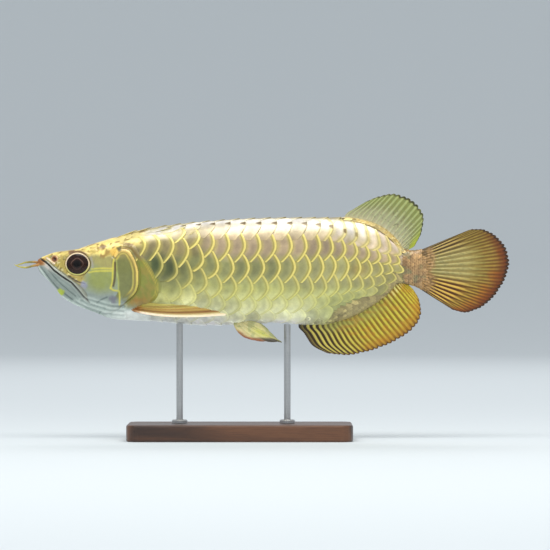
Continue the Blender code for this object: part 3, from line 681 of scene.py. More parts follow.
def skin_relief(s, h, facing):
    """How far the skin stands out of the smooth head, in millimetres."""
    z = np.zeros(np.shape(s))
    under = below_mouth(s, h)
    mouth = distance(MOUTH, s, h)
    shut = ramp(47.0 - s, 0.0, 4.0)
    z -= (1.5 - 0.8 * ramp(s, 28.0, 42.0)) * bell(mouth, 0.6) * shut
    z += 0.4 * bell(mouth - 1.6, 0.9) * np.where(under > 0, 1.0, 0.3) * shut
    lines = mouth * (under > 0)
    wrinkles = np.sin(lines * 2.4 + 2.0 * cloud(s, h, (9.0, 9.0), 21))
    z += 0.1 * wrinkles * ramp(lines, 2.5, 4.5) * ramp(60.0 - s, 0.0, 20.0)
    bone = distance(MAXILLA_TOP, s, h)
    plate = np.where(inside(MAXILLA, s, h), np.minimum(bone, mouth), 0.0)
    z += 0.35 * ramp(plate, 0.1, 1.4)
    z -= 0.35 * bell(bone, 0.6)
    fold = distance(UNDER_EYE, s, h)
    z += 0.2 * bell(fold - 1.2, 0.7) - 0.4 * bell(fold, 0.5)
    for line, ridge, _ in CHEEK_LINES:
        z += ridge * bell(distance(line, s, h), 0.65)
    z -= 0.6 * bell(distance(CHEEK_SHADOW, s, h), 0.7)
    rear = distance(OPERCLE_REAR, s, h)
    cover = inside(OPERCLE, s, h)
    rim = 0.2 + 0.5 * ramp(rear, 0.0, 1.5) * ramp(9.0 - rear, 0.0, 6.0)
    z += np.where(cover, rim, 0.2 * bell(rear, 0.8))
    z -= ~cover * 0.9 * bell(rear - 1.3, 1.0) * ramp(rear, 0.0, 1.3)
    z -= 0.3 * bell(distance(OPERCLE_INNER, s, h), 0.7)
    z += 0.2 * bell(distance(OPERCLE_FRONT, s, h), 0.7)
    for line in THROAT_FOLDS:
        fold = distance(line, s, h)
        z -= 0.35 * bell(fold, 0.9)
        z += 0.2 * bell(fold - 1.9, 1.0)
    z -= 0.4 * bell(distance(JAW_LINE_OUTER, s, h), 0.6)
    z -= 0.32 * bell(distance(JAW_LINE_INNER, s, h), 0.6)
    z += 0.25 * bell(distance(JAW_EDGE, s, h), 0.8)
    z -= 0.3 * bell(distance(CHIN_STREAK, s, h), 0.8)
    fold = distance(SNOUT_FOLD, s, h)
    z += 0.45 * bell(fold, 0.7) - 0.4 * bell(fold - 1.3, 0.5)
    nose = np.hypot(s - NOSTRIL[0], h - NOSTRIL[1])
    z += 0.45 * bell(nose - 1.75, 0.6) - 1.3 * ramp(1.5 - nose, 0.0, 0.6)
    upper = ramp(h - smooth(HEAD_GOLD_LINE, s), -4.0, 2.0)
    z -= 0.35 * upper * ramp(cloud(s, h, (2.6, 2.2), 3), 0.62, 0.85) * ramp(s, 6.0, 12.0)
    behind = ramp(s, 80.0, 88.0) * ramp(rear, 1.5, 4.0)
    z += 0.22 * behind * (cloud(s + 0.5 * h, h, (2.2, 7.0), 8) - 0.5)
    z *= ramp(facing, 0.12, 0.45)
    e = eye_radius(s, h)
    flank = ramp(facing, 0.2, 0.4)
    z -= 3.4 * ramp(1.03 - e, 0.0, 0.075) * flank
    z += 0.3 * bell((e - 1.1) * 10.0, 0.9) * flank
    edge = distance(SHOULDER, s, h)
    z += 0.25 * bell(edge, 1.2) * ramp(s, 74.0, 86.0) * ramp(h + 40.0, 0.0, 8.0) * ramp(10.0 - h, 0.0, 10.0)
    return z


def ground_colour(s_even, h_even, way, mouth, under):
    """Broad colours of head and shoulder, which wander a little off their places."""
    c = filled(s_even, JAW_SILVER)
    s = s_even + 1.6 * (cloud(s_even, way, (4.0, 4.0), 31) - 0.5)
    h = h_even + 1.6 * (cloud(s_even, way, (4.0, 4.0), 32) - 0.5)
    c = mix(c, THROAT_SILVER, ramp(-h - 34.0 + (70.0 - s) * 0.12, -4.0, 5.0))
    streaks = np.sin(mouth * 2.6 + 2.5 * cloud(s_even, h_even, (8.0, 8.0), 33))
    low = (under > 0) * ramp(62.0 - s, 0.0, 14.0)
    c = mix(c, JAW_STREAK, 0.3 * low * ramp(streaks, 0.2, 1.0))
    cheek = np.hypot((s - 56.0) / 15.0, (h + 13.0) / 12.5)
    c = mix(c, CHEEK_GREEN, ramp(1.4 - cheek, 0.0, 0.95) * (0.8 + 0.2 * cloud(s, h, (3.0, 5.0), 37)))
    upper = ramp(h + 0.35 * (s - 60.0), -10.0, -2.0) * ramp(s, 38.0, 46.0)
    c = mix(c, CHEEK_OLIVE, upper * ramp(h, -9.0, -5.0))
    upright = cloud(s, h, (1.7, 8.0), 34)
    c = mix(c, CHEEK_BROWN, upper * ramp(h, -5.0, -2.0) * ramp(upright, 0.45, 0.85) * 0.7)
    snout = ramp(h + 0.72 * s, 5.5, 10.0) * ramp(44.0 - s, 0.0, 6.0)
    c = mix(c, SNOUT_OLIVE, snout)
    brown = ramp(cloud(s, way, (2.4, 2.4), 35), 0.45, 0.75)
    c = mix(c, SNOUT_BROWN, snout * brown * ramp(6.0 - h, 0.0, 3.0) * 0.85)
    c = mix(c, SNOUT_PALE, snout * ramp(cloud(s, way, (2.0, 1.6), 38), 0.68, 0.9) * 0.7)
    line = smooth(HEAD_GOLD_LINE, s)
    c = mix(c, HEAD_GOLD, ramp(h - line, -2.5, 2.0))
    specks = ramp(cloud(s, way, (2.6, 2.2), 3), 0.6, 0.85) * ramp(h - line, -3.0, 1.0)
    c = mix(c, SPECK_BROWN, 0.75 * specks * ramp(s, 5.0, 12.0))
    c = mix(c, HEAD_OCHRE, 0.5 * ramp(h - line, -3.0, 1.0) * ramp(cloud(s, way, (5.0, 3.0), 36), 0.5, 0.8))
    cover = inside(OPERCLE, s, h) & (h > -38.0)
    c = mix(c, OPERCLE_GREEN, cover * ramp(s, 66.0, 70.0) * 0.95)
    c = mix(c, OPERCLE_TOP, cover * ramp(h, 0.0, 8.0))
    c = mix(c, JAW_SILVER, cover * ramp(-h, 27.0, 34.0))
    behind = ~inside(OPERCLE, s, h) & (s > 74.0)
    c = mix(c, SHOULDER_GREEN, behind * ramp(h, -40.0, -30.0) * ramp(line + 1.0 - h, 0.0, 6.0))
    fibres = cloud(s + 0.5 * h, h, (2.2, 7.0), 8)
    flap = behind * ramp(rear_of(s_even, h_even), 1.0, 3.0) * ramp(h, -40.0, -30.0)
    c = mix(c, FLAP_OCHRE, flap * ramp(fibres, 0.45, 0.8) * 0.5)
    c = mix(c, FLAP_GREY, flap * ramp(h, -1.0, 8.0) * (0.5 + 0.4 * fibres))
    c = mix(c, FLAP_ORANGE, flap * blotch(s, h, (86.0, -34.0), (9.0, 4.5)) * 0.9)
    # Silver of the throat, partly painted light from below
    c = mix(c, BELLY_SILVER_AND_PAINTED_LIGHT, ramp(s, 50.0, 76.0) * ramp(-h, 37.0, 43.0) * 0.8)
    edge = distance(SHOULDER, s_even, h_even)
    thin = bell(edge - 0.8, 0.45) * 0.6
    c = mix(c, FLAP_EDGE, thin * ramp(6.0 - h, 0.0, 8.0) * ramp(h + 34.0, 0.0, 8.0) * ramp(s, 78.0, 86.0))
    return mix(c, FLAP_SHADE, bell(edge - 1.6, 1.2) * 0.6 * ramp(h, 0.0, 6.0) * ramp(s, 68.0, 74.0))


def cover_colour(c, s, h):
    """Rim and lines of the gill cover, and the lines of the cheek."""
    rear = distance(OPERCLE_REAR, s, h)
    rim = mix(filled(s, OPERCLE_RIM), RIM_LOW, ramp(-h, -2.0, 22.0))
    within = inside(OPERCLE, s, h)
    above = ramp(h + 30.0, 0.0, 6.0)
    c = mix(c, RIM_INSIDE, within * ramp(4.9 - rear, 0.0, 1.2) * above * 0.8)
    c = mix(c, RIM_INNER, within * bell(rear - 4.1, 0.7) * above * 0.8)
    band = within * ramp(2.1 + 0.8 * ramp(h, 1.0, 8.0) - rear, 0.0, 0.8) * ramp(h + 33.0, 0.0, 7.0)
    c = mix(c, rim, band)
    c = mix(c, COVER_LINE, bell(distance(OPERCLE_INNER, s, h) - 1.6, 0.6) * 0.3 * within)
    c = mix(c, COVER_GAP, ~within * bell(rear, 0.9) * 0.8 * ramp(s, 68.0, 74.0))
    for path, _, share in CHEEK_LINES:
        c = mix(c, LINE_YELLOW, share * bell(distance(path, s, h), 0.75))
    c = mix(c, COVER_FRONT, 0.75 * bell(distance(OPERCLE_FRONT, s, h), 0.8))
    return mix(c, DARK_BROWN, 0.75 * bell(distance(CHEEK_SHADOW, s, h), 0.75))


def jaw_colour(c, s, h, facing, mouth, under):
    """Jaw bones, throat folds and the line of the mouth."""
    maxilla = inside(MAXILLA, s, h)
    c = mix(c, MAXILLA_GREY, maxilla * 0.75)
    c = mix(c, MAXILLA_PALE, maxilla * bell(mouth - 1.25, 0.45) * 0.65)
    c = mix(c, BONE_LINE, 0.45 * bell(distance(MAXILLA_TOP, s, h), 0.5))
    c = mix(c, UNDER_EYE_BROWN, 0.9 * bell(distance(UNDER_EYE, s, h), 0.6))
    for path, share in ((JAW_LINE_OUTER, 0.75), (JAW_LINE_INNER, 0.6), (CHIN_STREAK, 0.7)):
        c = mix(c, JAW_LINE, share * bell(distance(path, s, h), 0.65))
    c = mix(c, JAW_EDGE_PALE, 0.7 * bell(distance(JAW_EDGE, s, h), 0.9))
    # Painted shade in the groove of each throat fold, and a painted highlight on the ridge beside it
    for fold in THROAT_FOLDS:
        c = mix(c, FOLD_SHADE, 0.4 * bell(distance(fold, s, h), 0.9) * ramp(facing, 0.3, 0.6))
        c = mix(c, FOLD_HIGHLIGHT, 0.35 * bell(distance(fold, s, h) - 1.9, 1.0))
    lip = (under > 0) * bell(mouth - 2.2, 1.3)
    c = mix(c, PALE_LIP, lip * ramp(16.0 - s, 0.0, 8.0))
    c = mix(c, SNOUT_FOLD_PALE, bell(distance(SNOUT_FOLD, s, h), 0.8))
    tip = ramp(9.5 - s, 0.0, 5.0) * ramp(h, -3.4, -1.0) * ramp(4.2 - h, 0.0, 1.6)
    c = mix(c, JAW_TIP, tip)
    gap = 0.95 - 0.35 * ramp(s, 26.0, 40.0)
    return mix(c, MOUTH_DARK, gap * bell(mouth, 0.66) * ramp(48.0 - s, 0.0, 6.0))


def spot_colour(c, s, h, facing):
    """Nostril, single spots and the skin round the eye."""
    nose = np.hypot(s - NOSTRIL[0], h - NOSTRIL[1])
    c = mix(c, NOSTRIL_RING, bell(nose - 2.9, 0.6))
    c = mix(c, NOSTRIL_EDGE, bell(nose - 1.7, 0.75))
    c = mix(c, NOSTRIL_HOLE, ramp(1.4 - nose, 0.0, 0.5))
    for place, size, colour in HEAD_SPOTS:
        reach = np.hypot(s - place[0], h - place[1]) + 1.6 * (cloud(s, h, (2.0, 2.0), 41) - 0.5)
        c = mix(c, colour, 0.9 * ramp(1.5 - reach / size, 0.0, 0.9) * ramp(facing, 0.12, 0.4))
    c = mix(c, STREAK_GREY, 0.75 * bell(distance(EYE_STREAK, s, h), 1.1))
    e = eye_radius(s, h)
    flank = ramp(facing, 0.15, 0.45)
    c = mix(c, EYE_ROUND, 0.5 * bell((e - 1.02) * 10.0, 0.4) * flank)
    return mix(c, EYE_BROW, 0.8 * bell((e - 1.06) * 10.0, 0.7) * ramp(h, 5.5, 8.5) * flank)


def skin_colour(s, h, facing, way):
    """Colour of the bare skin of head and shoulder."""
    mouth = distance(MOUTH, s, h)
    under = below_mouth(s, h)
    c = ground_colour(s, h, way, mouth, under)
    c = cover_colour(c, s, h)
    c = jaw_colour(c, s, h, facing, mouth, under)
    return spot_colour(c, s, h, facing)


def rear_of(s, h):
    """Distance behind the free edge of the gill cover."""
    return np.where(inside(OPERCLE, s, h), 0.0, distance(OPERCLE_REAR, s, h))


def whole_skin_colour(s, h, facing, way):
    """Bare skin in front, and under the scales the flank's colour, darkened as painted shade."""
    share = head_share(s, h)[..., None]
    # Painted shade: under the scales the skin is 0.9 as bright as the flank
    return skin_colour(s, h, facing, way) * share + flank_colour(s, h, way) * 0.9 * (1 - share)


def linear(colour):
    """Linear light from screen colours of 0 to 255."""
    c = np.clip(np.asarray(colour, float) / 255.0, 0.0, 1.0)
    return np.where(c <= 0.04045, c / 12.92, ((c + 0.055) / 1.055) ** 2.4)


# Making meshes
def make_piece(name, places, faces, colours, uvs=None, sharp=None):
    """A mesh object from arrays, with its colours as the point attribute 'tint'."""
    mesh = bpy.data.meshes.new(name)
    mesh.from_pydata(places.tolist(), [], faces)
    tint = mesh.attributes.new("tint", "FLOAT_COLOR", "POINT")
    rgba = np.ones((len(places), 4))
    rgba[:, :3] = linear(colours)
    tint.data.foreach_set("color", rgba.ravel())
    if uvs is not None:
        layer = mesh.uv_layers.new(name="OFBake")
        layer.data.foreach_set("uv", np.asarray(uvs, float).ravel())
    mesh.polygons.foreach_set("use_smooth", [True] * len(mesh.polygons))
    mesh.update()
    if sharp:
        mesh.set_sharp_from_angle(angle=math.radians(sharp))
    piece = bpy.data.objects.new(name, mesh)
    bpy.context.scene.collection.objects.link(piece)
    return piece


def tube(u, v, flip=False):
    """Faces that join closed rings of points, and their unwrap.

    u has a place for every ring, v one for every point round a ring and one more.
    """
    around = len(v) - 1
    order = (0, 3, 2, 1) if flip else (0, 1, 2, 3)
    faces = []
    uvs = []
    for i in range(len(u) - 1):
        for j in range(around):
            cell = ((i, j), (i + 1, j), (i + 1, j + 1), (i, j + 1))
            faces.append(tuple(cell[n][0] * around + cell[n][1] % around for n in order))
            uvs += [(u[cell[n][0]], v[cell[n][1]]) for n in order]
    return faces, uvs


def place_piece(piece, material, slot, *nodes):
    """Gives a piece its material and body, and hides the solids it stands for. slot is not used."""
    piece.data.materials.append(material)
    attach(piece, "root")
    if nodes:
        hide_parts(*nodes)


# Stretches of the skin as (start, end, step) along s: fine on the bare head, coarse under the scales
SKIN_STRETCHES = ((1.5, 60.0, 0.4), (60.0, 92.0, 0.4), (92.0, 110.0, 1.0), (110.0, BODY_END, 5.0))
SKIN_HALF_STEPS = 160
HEAD_UV = ((0.0, 0.0), (80.0, 0.65), (110.0, 0.74), (332.0, 1.0))
TAIL_CAP = ((329.4, 0.85), (330.4, 0.6), (331.0, 0.3))


def build_skin():
    """One closed skin from the snout to the root of the tail fin."""
    nose = NOSE_ROUNDING * (1 - np.sqrt(1 - np.linspace(0.06, 0.96, 9) ** 2))
    stations = np.concatenate([nose] + [np.arange(*stretch) for stretch in SKIN_STRETCHES] + [[BODY_END]])
    count = 2 * SKIN_HALF_STEPS
    ring = np.arange(count) / SKIN_HALF_STEPS
    # from the keel up the left flank to the ridge and down the right flank
    t = np.where(ring <= 1, 1 - ring, ring - 1)
    left = ring <= 1
    s_grid, t_grid = np.meshgrid(stations, t, indexing="ij")
    flanks = {}
    for _, side in SIDES:
        base = body(s_grid, t_grid, side)
        normal = outward(s_grid, t_grid, side)
        facing = np.abs(normal[..., 1])
        h = base[..., 2]
        z = skin_relief(s_grid, h, facing) * ramp(108.0 - s_grid, 0.0, 10.0)
        z -= COAT_DEPTH * (1 - head_share(s_grid, h))
        way = t_grid * girth(s_grid)
        flanks[side] = (base + normal * z[..., None], whole_skin_colour(s_grid, h, facing, way))
    places = np.where(left[None, :, None], flanks[-1][0], flanks[1][0])
    colours = np.where(left[None, :, None], flanks[-1][1], flanks[1][1])
    caps = []
    last = places[-1]
    middle = last.mean(0)
    for s, share in TAIL_CAP:
        cap = middle + (last - middle) * share
        cap[:, 0] = s
        caps.append(cap)
    rows = len(stations) + len(caps)
    points = np.concatenate([places.reshape(-1, 3)] + caps)
    tints = np.concatenate([colours.reshape(-1, 3)] + [colours[-1]] * len(caps))
    front = places[0].mean(0) - (0.02, 0.0, 0.0)
    points = np.concatenate([points, [front, middle + (331.2 - middle[0], 0.0, 0.0)]])
    tints = np.concatenate([tints, [tints[0], tints[-1]]])
    all_s = np.concatenate([stations, [s for s, _ in TAIL_CAP]])
    u = np.interp(all_s, *np.array(HEAD_UV).T) * 0.98 + 0.01
    v = np.arange(count + 1) / count
    faces, uvs = tube(u, v)
    for tip, i, du in ((len(points) - 2, 0, -0.008), (len(points) - 1, rows - 1, 0.008)):
        for j in range(count):
            k = (j + 1) % count
            corners = (i * count + j, i * count + k, tip)
            spots = [(u[i], v[j]), (u[i], v[j + 1]), (u[i] + du, (v[j] + v[j + 1]) / 2)]
            if du > 0:
                corners = corners[::-1]
                spots = spots[::-1]
            faces.append(corners)
            uvs += spots
    return make_piece("skin", world(points), faces, tints, uvs)


# Scales
def row_share(row, s):
    """The t of a row's middle line at each s."""
    if row == "ridge":
        return np.zeros(np.shape(s))
    if row == "keel":
        return np.ones(np.shape(s))
    return share_at(s, smooth(ROWS[row], s))


ROW_ORDER = ("ridge", "a", "b", "c", "d", "e", "f", "keel")


def row_stations(row):
    """Places along a row at which its scales' free edges stand."""
    s = np.arange(60.0, 330.0, 0.25)
    steps = np.cumsum(0.25 / smooth(SPACING, s))
    steps -= np.interp(SPACING_ORIGIN, s, steps) + ROW_SHIFT[row]
    first, last = ROW_SPAN[row]
    found = [np.interp(k, steps, s) for k in range(-30, 40)]
    return [x for x in found if first <= x <= last]


def plate_template(steps):
    """Faces of a closed plate and where each corner lies in its patch of the unwrap."""
    nu, nv = steps
    u = np.linspace(0, 1, nu)
    v = np.linspace(0, 1, nv)
    top = np.arange(nu * nv).reshape(nu, nv)
    under = nu * nv + np.arange(2 * nv).reshape(2, nv)
    faces = []
    spots = []

    def add(corners, places):
        faces.append(corners)
        spots.extend(places)

    for i in range(nu - 1):
        for j in range(nv - 1):
            cell = ((i, j), (i, j + 1), (i + 1, j + 1), (i + 1, j))
            add(tuple(top[corner] for corner in cell), [(0.9 * u[a], 0.04 + 0.92 * v[b]) for a, b in cell])
    for j in range(nv - 1):
        y0 = 0.04 + 0.92 * v[j]
        y1 = 0.04 + 0.92 * v[j + 1]
        add(
            (top[0, j + 1], top[0, j], under[0, j], under[0, j + 1]),
            [(0.91, y1), (0.91, y0), (0.93, y0), (0.93, y1)],
        )
        add(
            (top[-1, j], top[-1, j + 1], under[1, j + 1], under[1, j]),
            [(0.94, y0), (0.94, y1), (0.96, y1), (0.96, y0)],
        )
        add(
            (under[0, j + 1], under[0, j], under[1, j], under[1, j + 1]),
            [(0.97, y1), (0.97, y0), (1.0, y0), (1.0, y1)],
        )
    for j, inner, outer in ((0, 0.03, 0.005), (nv - 1, 0.97, 0.995)):
        corners = [top[i, j] for i in range(nu)] + [under[1, j], under[0, j]]
        places = [(0.9 * x, inner) for x in u] + [(0.9, outer), (0.0, outer)]
        if j:
            corners = corners[::-1]
            places = places[::-1]
        add(tuple(corners), places)
    return faces, np.array(spots)


PLATE_SEED = 7
RANDOM = np.random.default_rng(PLATE_SEED)


def plate(s0, q0, q_line, side, sizes, steps, paint):
    """One scale: its places and colours.

    s0 and q0 are where its free edge's middle is, q along the girth. sizes are the
    spacing, the reach up and down, the slope, rise and thickness.
    """
    spacing, up, down, slope, rise, thick = sizes
    nu, nv = steps
    u = np.linspace(0, 1, nu) ** 1.5
    v = np.linspace(-1, 1, nv)
    length = spacing * 1.5
    back = np.where(v < 0, 0.38 * spacing * np.abs(v) ** 1.9, 0.66 * spacing * np.abs(v) ** 1.7)
    reach = np.where(v < 0, up * v, down * v)
    inward = u[:, None] * length * (1 - 0.2 * np.abs(v[None, :]) ** 3)
    s = s0 - back[None, :] - inward
    q = q0 + 0.7 * (q_line(s) - q0) + reach[None, :]
    t = q / girth(s)
    z = rise - slope * inward - 0.32 * rise_scale(spacing) * np.abs(v[None, :]) ** 3
    z += 0.11 * rise_scale(spacing) * bell(inward - 0.9, 0.75) - 0.16 * bell(inward, 0.22)
    surface = body(s, t, side)
    normal = outward(s, t, side)
    top = surface + normal * z[..., None]
    under = top[[0, -1]] - normal[[0, -1]] * thick
    colours = paint(surface[..., 0], surface[..., 2], inward, v[None, :] + 0 * inward, t)
    # Painted shade: the under side and the edges of each plate are 0.8 as bright as its top
    return np.concatenate([top.reshape(-1, 3), under.reshape(-1, 3)]), np.concatenate(
        [colours.reshape(-1, 3), colours[[0, -1]].reshape(-1, 3) * 0.8]
    )


def rise_scale(spacing):
    return min(1.0, spacing / 12.0)


def scale_paint(row, shade):
    """Colour of a large scale: gold rim, thin olive line inside it, and a soft field."""
    strength = RIM_STRENGTH[row]

    def paint(s, h, inward, v, t):
        field = flank_colour(s, h, t * girth(s)) * shade
        wide = SCALE_RIM * np.clip(0.6 + 0.4 * smooth(SPACING, s) / 13.0, 0.5, 1.0)
        glow = 1.0 - 0.45 * ramp(130.0 - s, 0.0, 35.0) * ramp(-h, 0.0, 20.0)
        # On row a the rims fade out along the middle of the body, under the painted highlight of the back
        if row == "a":
            glow = glow * (1.0 - 0.85 * ramp(s, 116.0, 134.0) * ramp(252.0 - s, 0.0, 20.0))
        pitch = smooth(SPACING, s)
        rim = mix(filled(s, RIM_GOLD), RIM_LOWER, ramp(-h, 8.0, 34.0))
        share = ramp(wide + 0.5 - inward, 0.0, 0.95) * strength * glow
        # An olive halo inside the rim, and the same olive as painted shade just behind the free edge of the
        # scale in front
        halo_and_shade = ramp(wide + 3.6 - inward, 0.0, 2.8) + ramp(inward, 0.72 * pitch, 0.95 * pitch)
        centre = bell(inward - 7.5, 3.4) * (1 - np.abs(v) ** 2)
        c = field * (1.0 - 0.1 * centre[..., None])
        c = mix(c, RIM_HALO_AND_SHADE, 0.5 * np.minimum(halo_and_shade, 1.0) * strength * glow)
        line = bell(inward - wide - 0.6, 0.5) * 0.62 * strength * glow
        c = mix(c, RIM_LINE, line)
        c = mix(c, rim, share)
        if row == "a":
            wedge = ramp(0.25 - np.abs(v + 0.04) - 0.03 * inward, 0.0, 0.1)
            wedge = wedge * ramp(5.6 - 2.4 * ramp(s, 235.0, 265.0) - inward, 0.0, 1.4)
            c = mix(c, WEDGE_BROWN, 0.9 * wedge * ramp(inward, 0.0, 0.6) * ramp(292.0 - s, 0.0, 40.0))
        return c

    return paint


def q_line_of(row):
    """The distance of a row's middle line down the flank, as a function of s."""
    grid = np.arange(60.0, 330.0, 2.0)
    line = row_share(row, grid) * girth(grid)
    return lambda s: np.interp(s, grid, line)


# Where the flank's scales are parted into pieces
SEGMENTS = (70.0, 145.0, 205.0, 262.0, 322.0)


def build_scales(material):
    """Rows of large overlapping scales, joined into pieces by flank and stretch."""
    faces, spots = plate_template(SCALE_STEPS)
    lines = {row: q_line_of(row) for row in ROW_ORDER}
    groups = {}
    for number, row in enumerate(ROW_ORDER):
        for s0 in row_stations(row):
            spacing = float(smooth(SPACING, s0))
            q0 = float(lines[row](s0))
            pitch_up = q0 - float(lines[ROW_ORDER[number - 1]](s0)) if number else 0.0
            pitch_down = float(lines[ROW_ORDER[number + 1]](s0)) - q0 if row != "keel" else 0.0
            for word, side in SIDES:
                if row in ("ridge", "keel"):
                    if side > 0:
                        continue
                    up = 0.66 * max(pitch_up, pitch_down)
                    down = up
                    key = row
                else:
                    up = 0.63 * pitch_up
                    down = 0.75 * pitch_down
                    key = f"{word}_{np.searchsorted(SEGMENTS, s0)}"
                if s0 > DORSAL_BASE[0]:
                    up = min(up, q0 - 2.4)
                if s0 > ANAL_BASE[0]:
                    down = min(down, float(girth(s0)) - q0 - 2.0)
                if up < 2.0 or down < 2.0:
                    continue
                shade = 1.0 + 0.05 * RANDOM.standard_normal()
                jitter = 0.25 * RANDOM.standard_normal(2)
                sizes = (spacing, up, down, SCALE_SLOPE, 0.0, SCALE_THICKNESS)
                paint = scale_paint(row, shade)
                places, colours = plate(
                    s0 + jitter[0], q0 + jitter[1], lines[row], side, sizes, SCALE_STEPS, paint
                )
                pitch = max(min(x for x in (pitch_up, pitch_down) if x > 0), 4.0)
                patch = (s0, q0 / float(girth(s0)), 0.75 * spacing, 0.85 * pitch / float(girth(s0)))
                groups.setdefault(key, []).append((places, colours, patch))
    for key, plates in sorted(groups.items()):
        join_plates(f"scales_{key}", plates, faces, spots, material)


def join_plates(name, plates, faces, spots, material):
    """Plates of the same pattern as one piece, each with its patch of the unwrap."""
    count = len(plates[0][0])
    places = np.concatenate([p for p, _, _ in plates])
    colours = np.concatenate([c for _, c, _ in plates])
    patches = np.array([patch for _, _, patch in plates])
    low = (patches[:, 0] - patches[:, 2]).min()
    high = (patches[:, 0] + patches[:, 2]).max()
    bottom = (patches[:, 1] - patches[:, 3]).min()
    top = (patches[:, 1] + patches[:, 3]).max()
    joined = []
    uvs = []
    for k, (s0, t0, wide, tall) in enumerate(patches):
        joined += [tuple(int(c) + k * count for c in face) for face in faces]
        x = (s0 + (0.5 - spots[:, 0]) * wide - low) / (high - low)
        y = (t0 + (spots[:, 1] - 0.5) * tall - bottom) / (top - bottom)
        uvs.append(np.stack([x, y], 1))
    piece = make_piece(name, world(places), joined, colours, np.concatenate(uvs), PLATE_SHARP)
    place_piece(piece, material, "scales")


# Small scales over the root of the tail fin and along the fins' bases
def small_scale_paint(kind, shade):
    def paint(s, h, inward, v, t):
        edge = ramp(0.75 - inward, 0.0, 0.5)
        if kind == "tail":
            c = filled(s, TAIL_ROSE)
            c = mix(c, TAIL_TAN, ramp(cloud(s, h, (4.0, 3.0), 5), 0.45, 0.75) * 0.8)
            c = mix(c, TAIL_GREY, ramp(cloud(s, h, (5.0, 4.0), 6), 0.55, 0.8) * 0.8)
            c = mix(c, TAIL_EDGE, 0.4 * edge)
            c = mix(c, TAIL_SPECK, bell(inward - 1.5, 0.6) * 0.5 * shade[1])
        elif kind == "sheath":
            c = filled(s, SHEATH_GOLD)
            c = mix(c, SHEATH_EDGE, 0.8 * edge)
            c = mix(c, SHEATH_PALE, ramp(cloud(s, h, (4.0, 4.0), 7), 0.5, 0.75) * 0.7)
            c = mix(c, SHEATH_LINE, 0.45 * bell(inward - 1.7, 0.5))
        else:
            c = flank_colour(s, h, t * girth(s))
            c = mix(c, STRIP_BROWN, 0.75 * ramp(s, 238.0, 258.0))
            c = mix(c, STRIP_EDGE, 0.25 * edge)
            c = mix(c, STRIP_LINE, 0.25 * bell(inward - 1.6, 0.5))
        return c * shade[0]

    return paint


def small_plate(kind, s0, q0, size, side):
    """One small scale of size (spacing, half height, slope, rise, thickness)."""
    shade = (1.0 + 0.09 * RANDOM.standard_normal(), float(RANDOM.random() > 0.4))
    spacing, half, slope, rise, thick = size
    sizes = (spacing, half, half, slope, rise, thick)
    paint = small_scale_paint(kind, shade)
    places, colours = plate(s0, q0, lambda s: q0 + 0 * s, side, sizes, SMALL_SCALE_STEPS, paint)
    around = float(girth(s0))
    return places, colours, (s0, q0 / around, 0.46 * spacing, 0.8 * half / around)


def build_small_scales(material):
    """Fine scales on the root of the tail fin, and along the dorsal and anal fins."""
    faces, spots = plate_template(SMALL_SCALE_STEPS)
    row_d, row_e, row_f = (q_line_of(row) for row in "def")
    for word, side in SIDES:
        tail = []
        for column, s0 in enumerate(np.arange(313.0, 329.5, 1.75)):
            around = float(girth(s0))
            many = int(around / 2.5)
            for k in range(many):
                q0 = around * (k + 0.5 * (column % 2)) / many
                if 0.8 < q0 < around - 0.8:
                    tail.append(small_plate("tail", s0 + 0.9, q0, (2.7, 1.8, 0.13, 0.0, 0.2), side))
        join_plates(f"scales_small_tail_{word}", tail, faces, spots, material)
        fins = []
        for row, offset in enumerate((2.0, 4.9)):
            for s0 in np.arange(264.0 + 1.9 * (row % 2), 312.0, 3.8):
                fins.append(small_plate("sheath", s0 + 1.0, offset, (4.3, 2.2, 0.1, 0.25, 0.2), side))
        for column, s0 in enumerate(np.arange(226.0, 311.0, 2.5)):
            around = float(girth(s0))
            share = float(ramp(s0, 250.0, 268.0))
            limit = 0.72 * (around - float(row_f(s0)) * (1 - share) - float(row_e(s0)) * share)
            limit = max(limit, (around - float(row_d(s0)) - 2.0) * float(ramp(s0, 292.0, 300.0)))
            for k in range(7):
                offset = 1.5 + 2.5 * (k + 0.5 * (column % 2))
                if offset < limit:
                    size = (3.6, 1.8, 0.12, -0.3, 0.18)
                    fins.append(small_plate("anal", s0 + 1.2, around - offset, size, side))
        join_plates(f"scales_small_fins_{word}", fins, faces, spots, material)


# Fins
DORSAL_RAYS = 19
ANAL_RAYS = 28
CAUDAL_RAYS = 18
PECTORAL_RAYS = 7
PELVIC_RAYS = 6
# Thicknesses in millimetres, and shares of the fin's height where rays fork and flesh ends
FIN_SHAPE = {
    "membrane": 0.4, "ray_tip": 0.22, "split": 0.6, "teeth": 1, "segments": 26.0, "lead_rear": 0.0,
}
MEDIAN_SHAPE = {
    **FIN_SHAPE, "ray_root": 1.1, "flesh": 1.6, "flesh_end": 0.16, "scallop": 0.035,
    "lead": 0.5, "ripple": 0.1,
}
CAUDAL_SHAPE = {
    **FIN_SHAPE, "ray_root": 0.9, "flesh": 6.2, "flesh_end": 0.3, "scallop": 0.02,
    "lead": 0.6, "ripple": 0.1, "lead_rear": 1.0, "split": 0.45, "teeth": 2,
}
PECTORAL_SHAPE = {
    **FIN_SHAPE, "ray_root": 1.5, "flesh": 2.0, "flesh_end": 0.12, "scallop": 0.02,
    "lead": 1.0, "ripple": 0.15,
}
PELVIC_SHAPE = {
    **FIN_SHAPE, "ray_root": 0.6, "flesh": 1.4, "flesh_end": 0.3, "scallop": 0.04,
    "lead": 0.6, "ripple": 0.05,
}


def ray_lines(u, v, rays, split):
    """How close each place is to a ray, which forks towards its tip: 1 on the ray."""
    f = u * rays
    f = f - np.floor(f) - 0.5
    first = 0.24 * ramp(v, split, 1.0)
    second = 0.11 * ramp(v, 0.5 + split / 2, 1.05)
    f = np.abs(np.abs(f) - first)
    f = np.abs(f - second)
    return bell(f, 0.17 - 0.07 * ramp(v, split, 1.0))


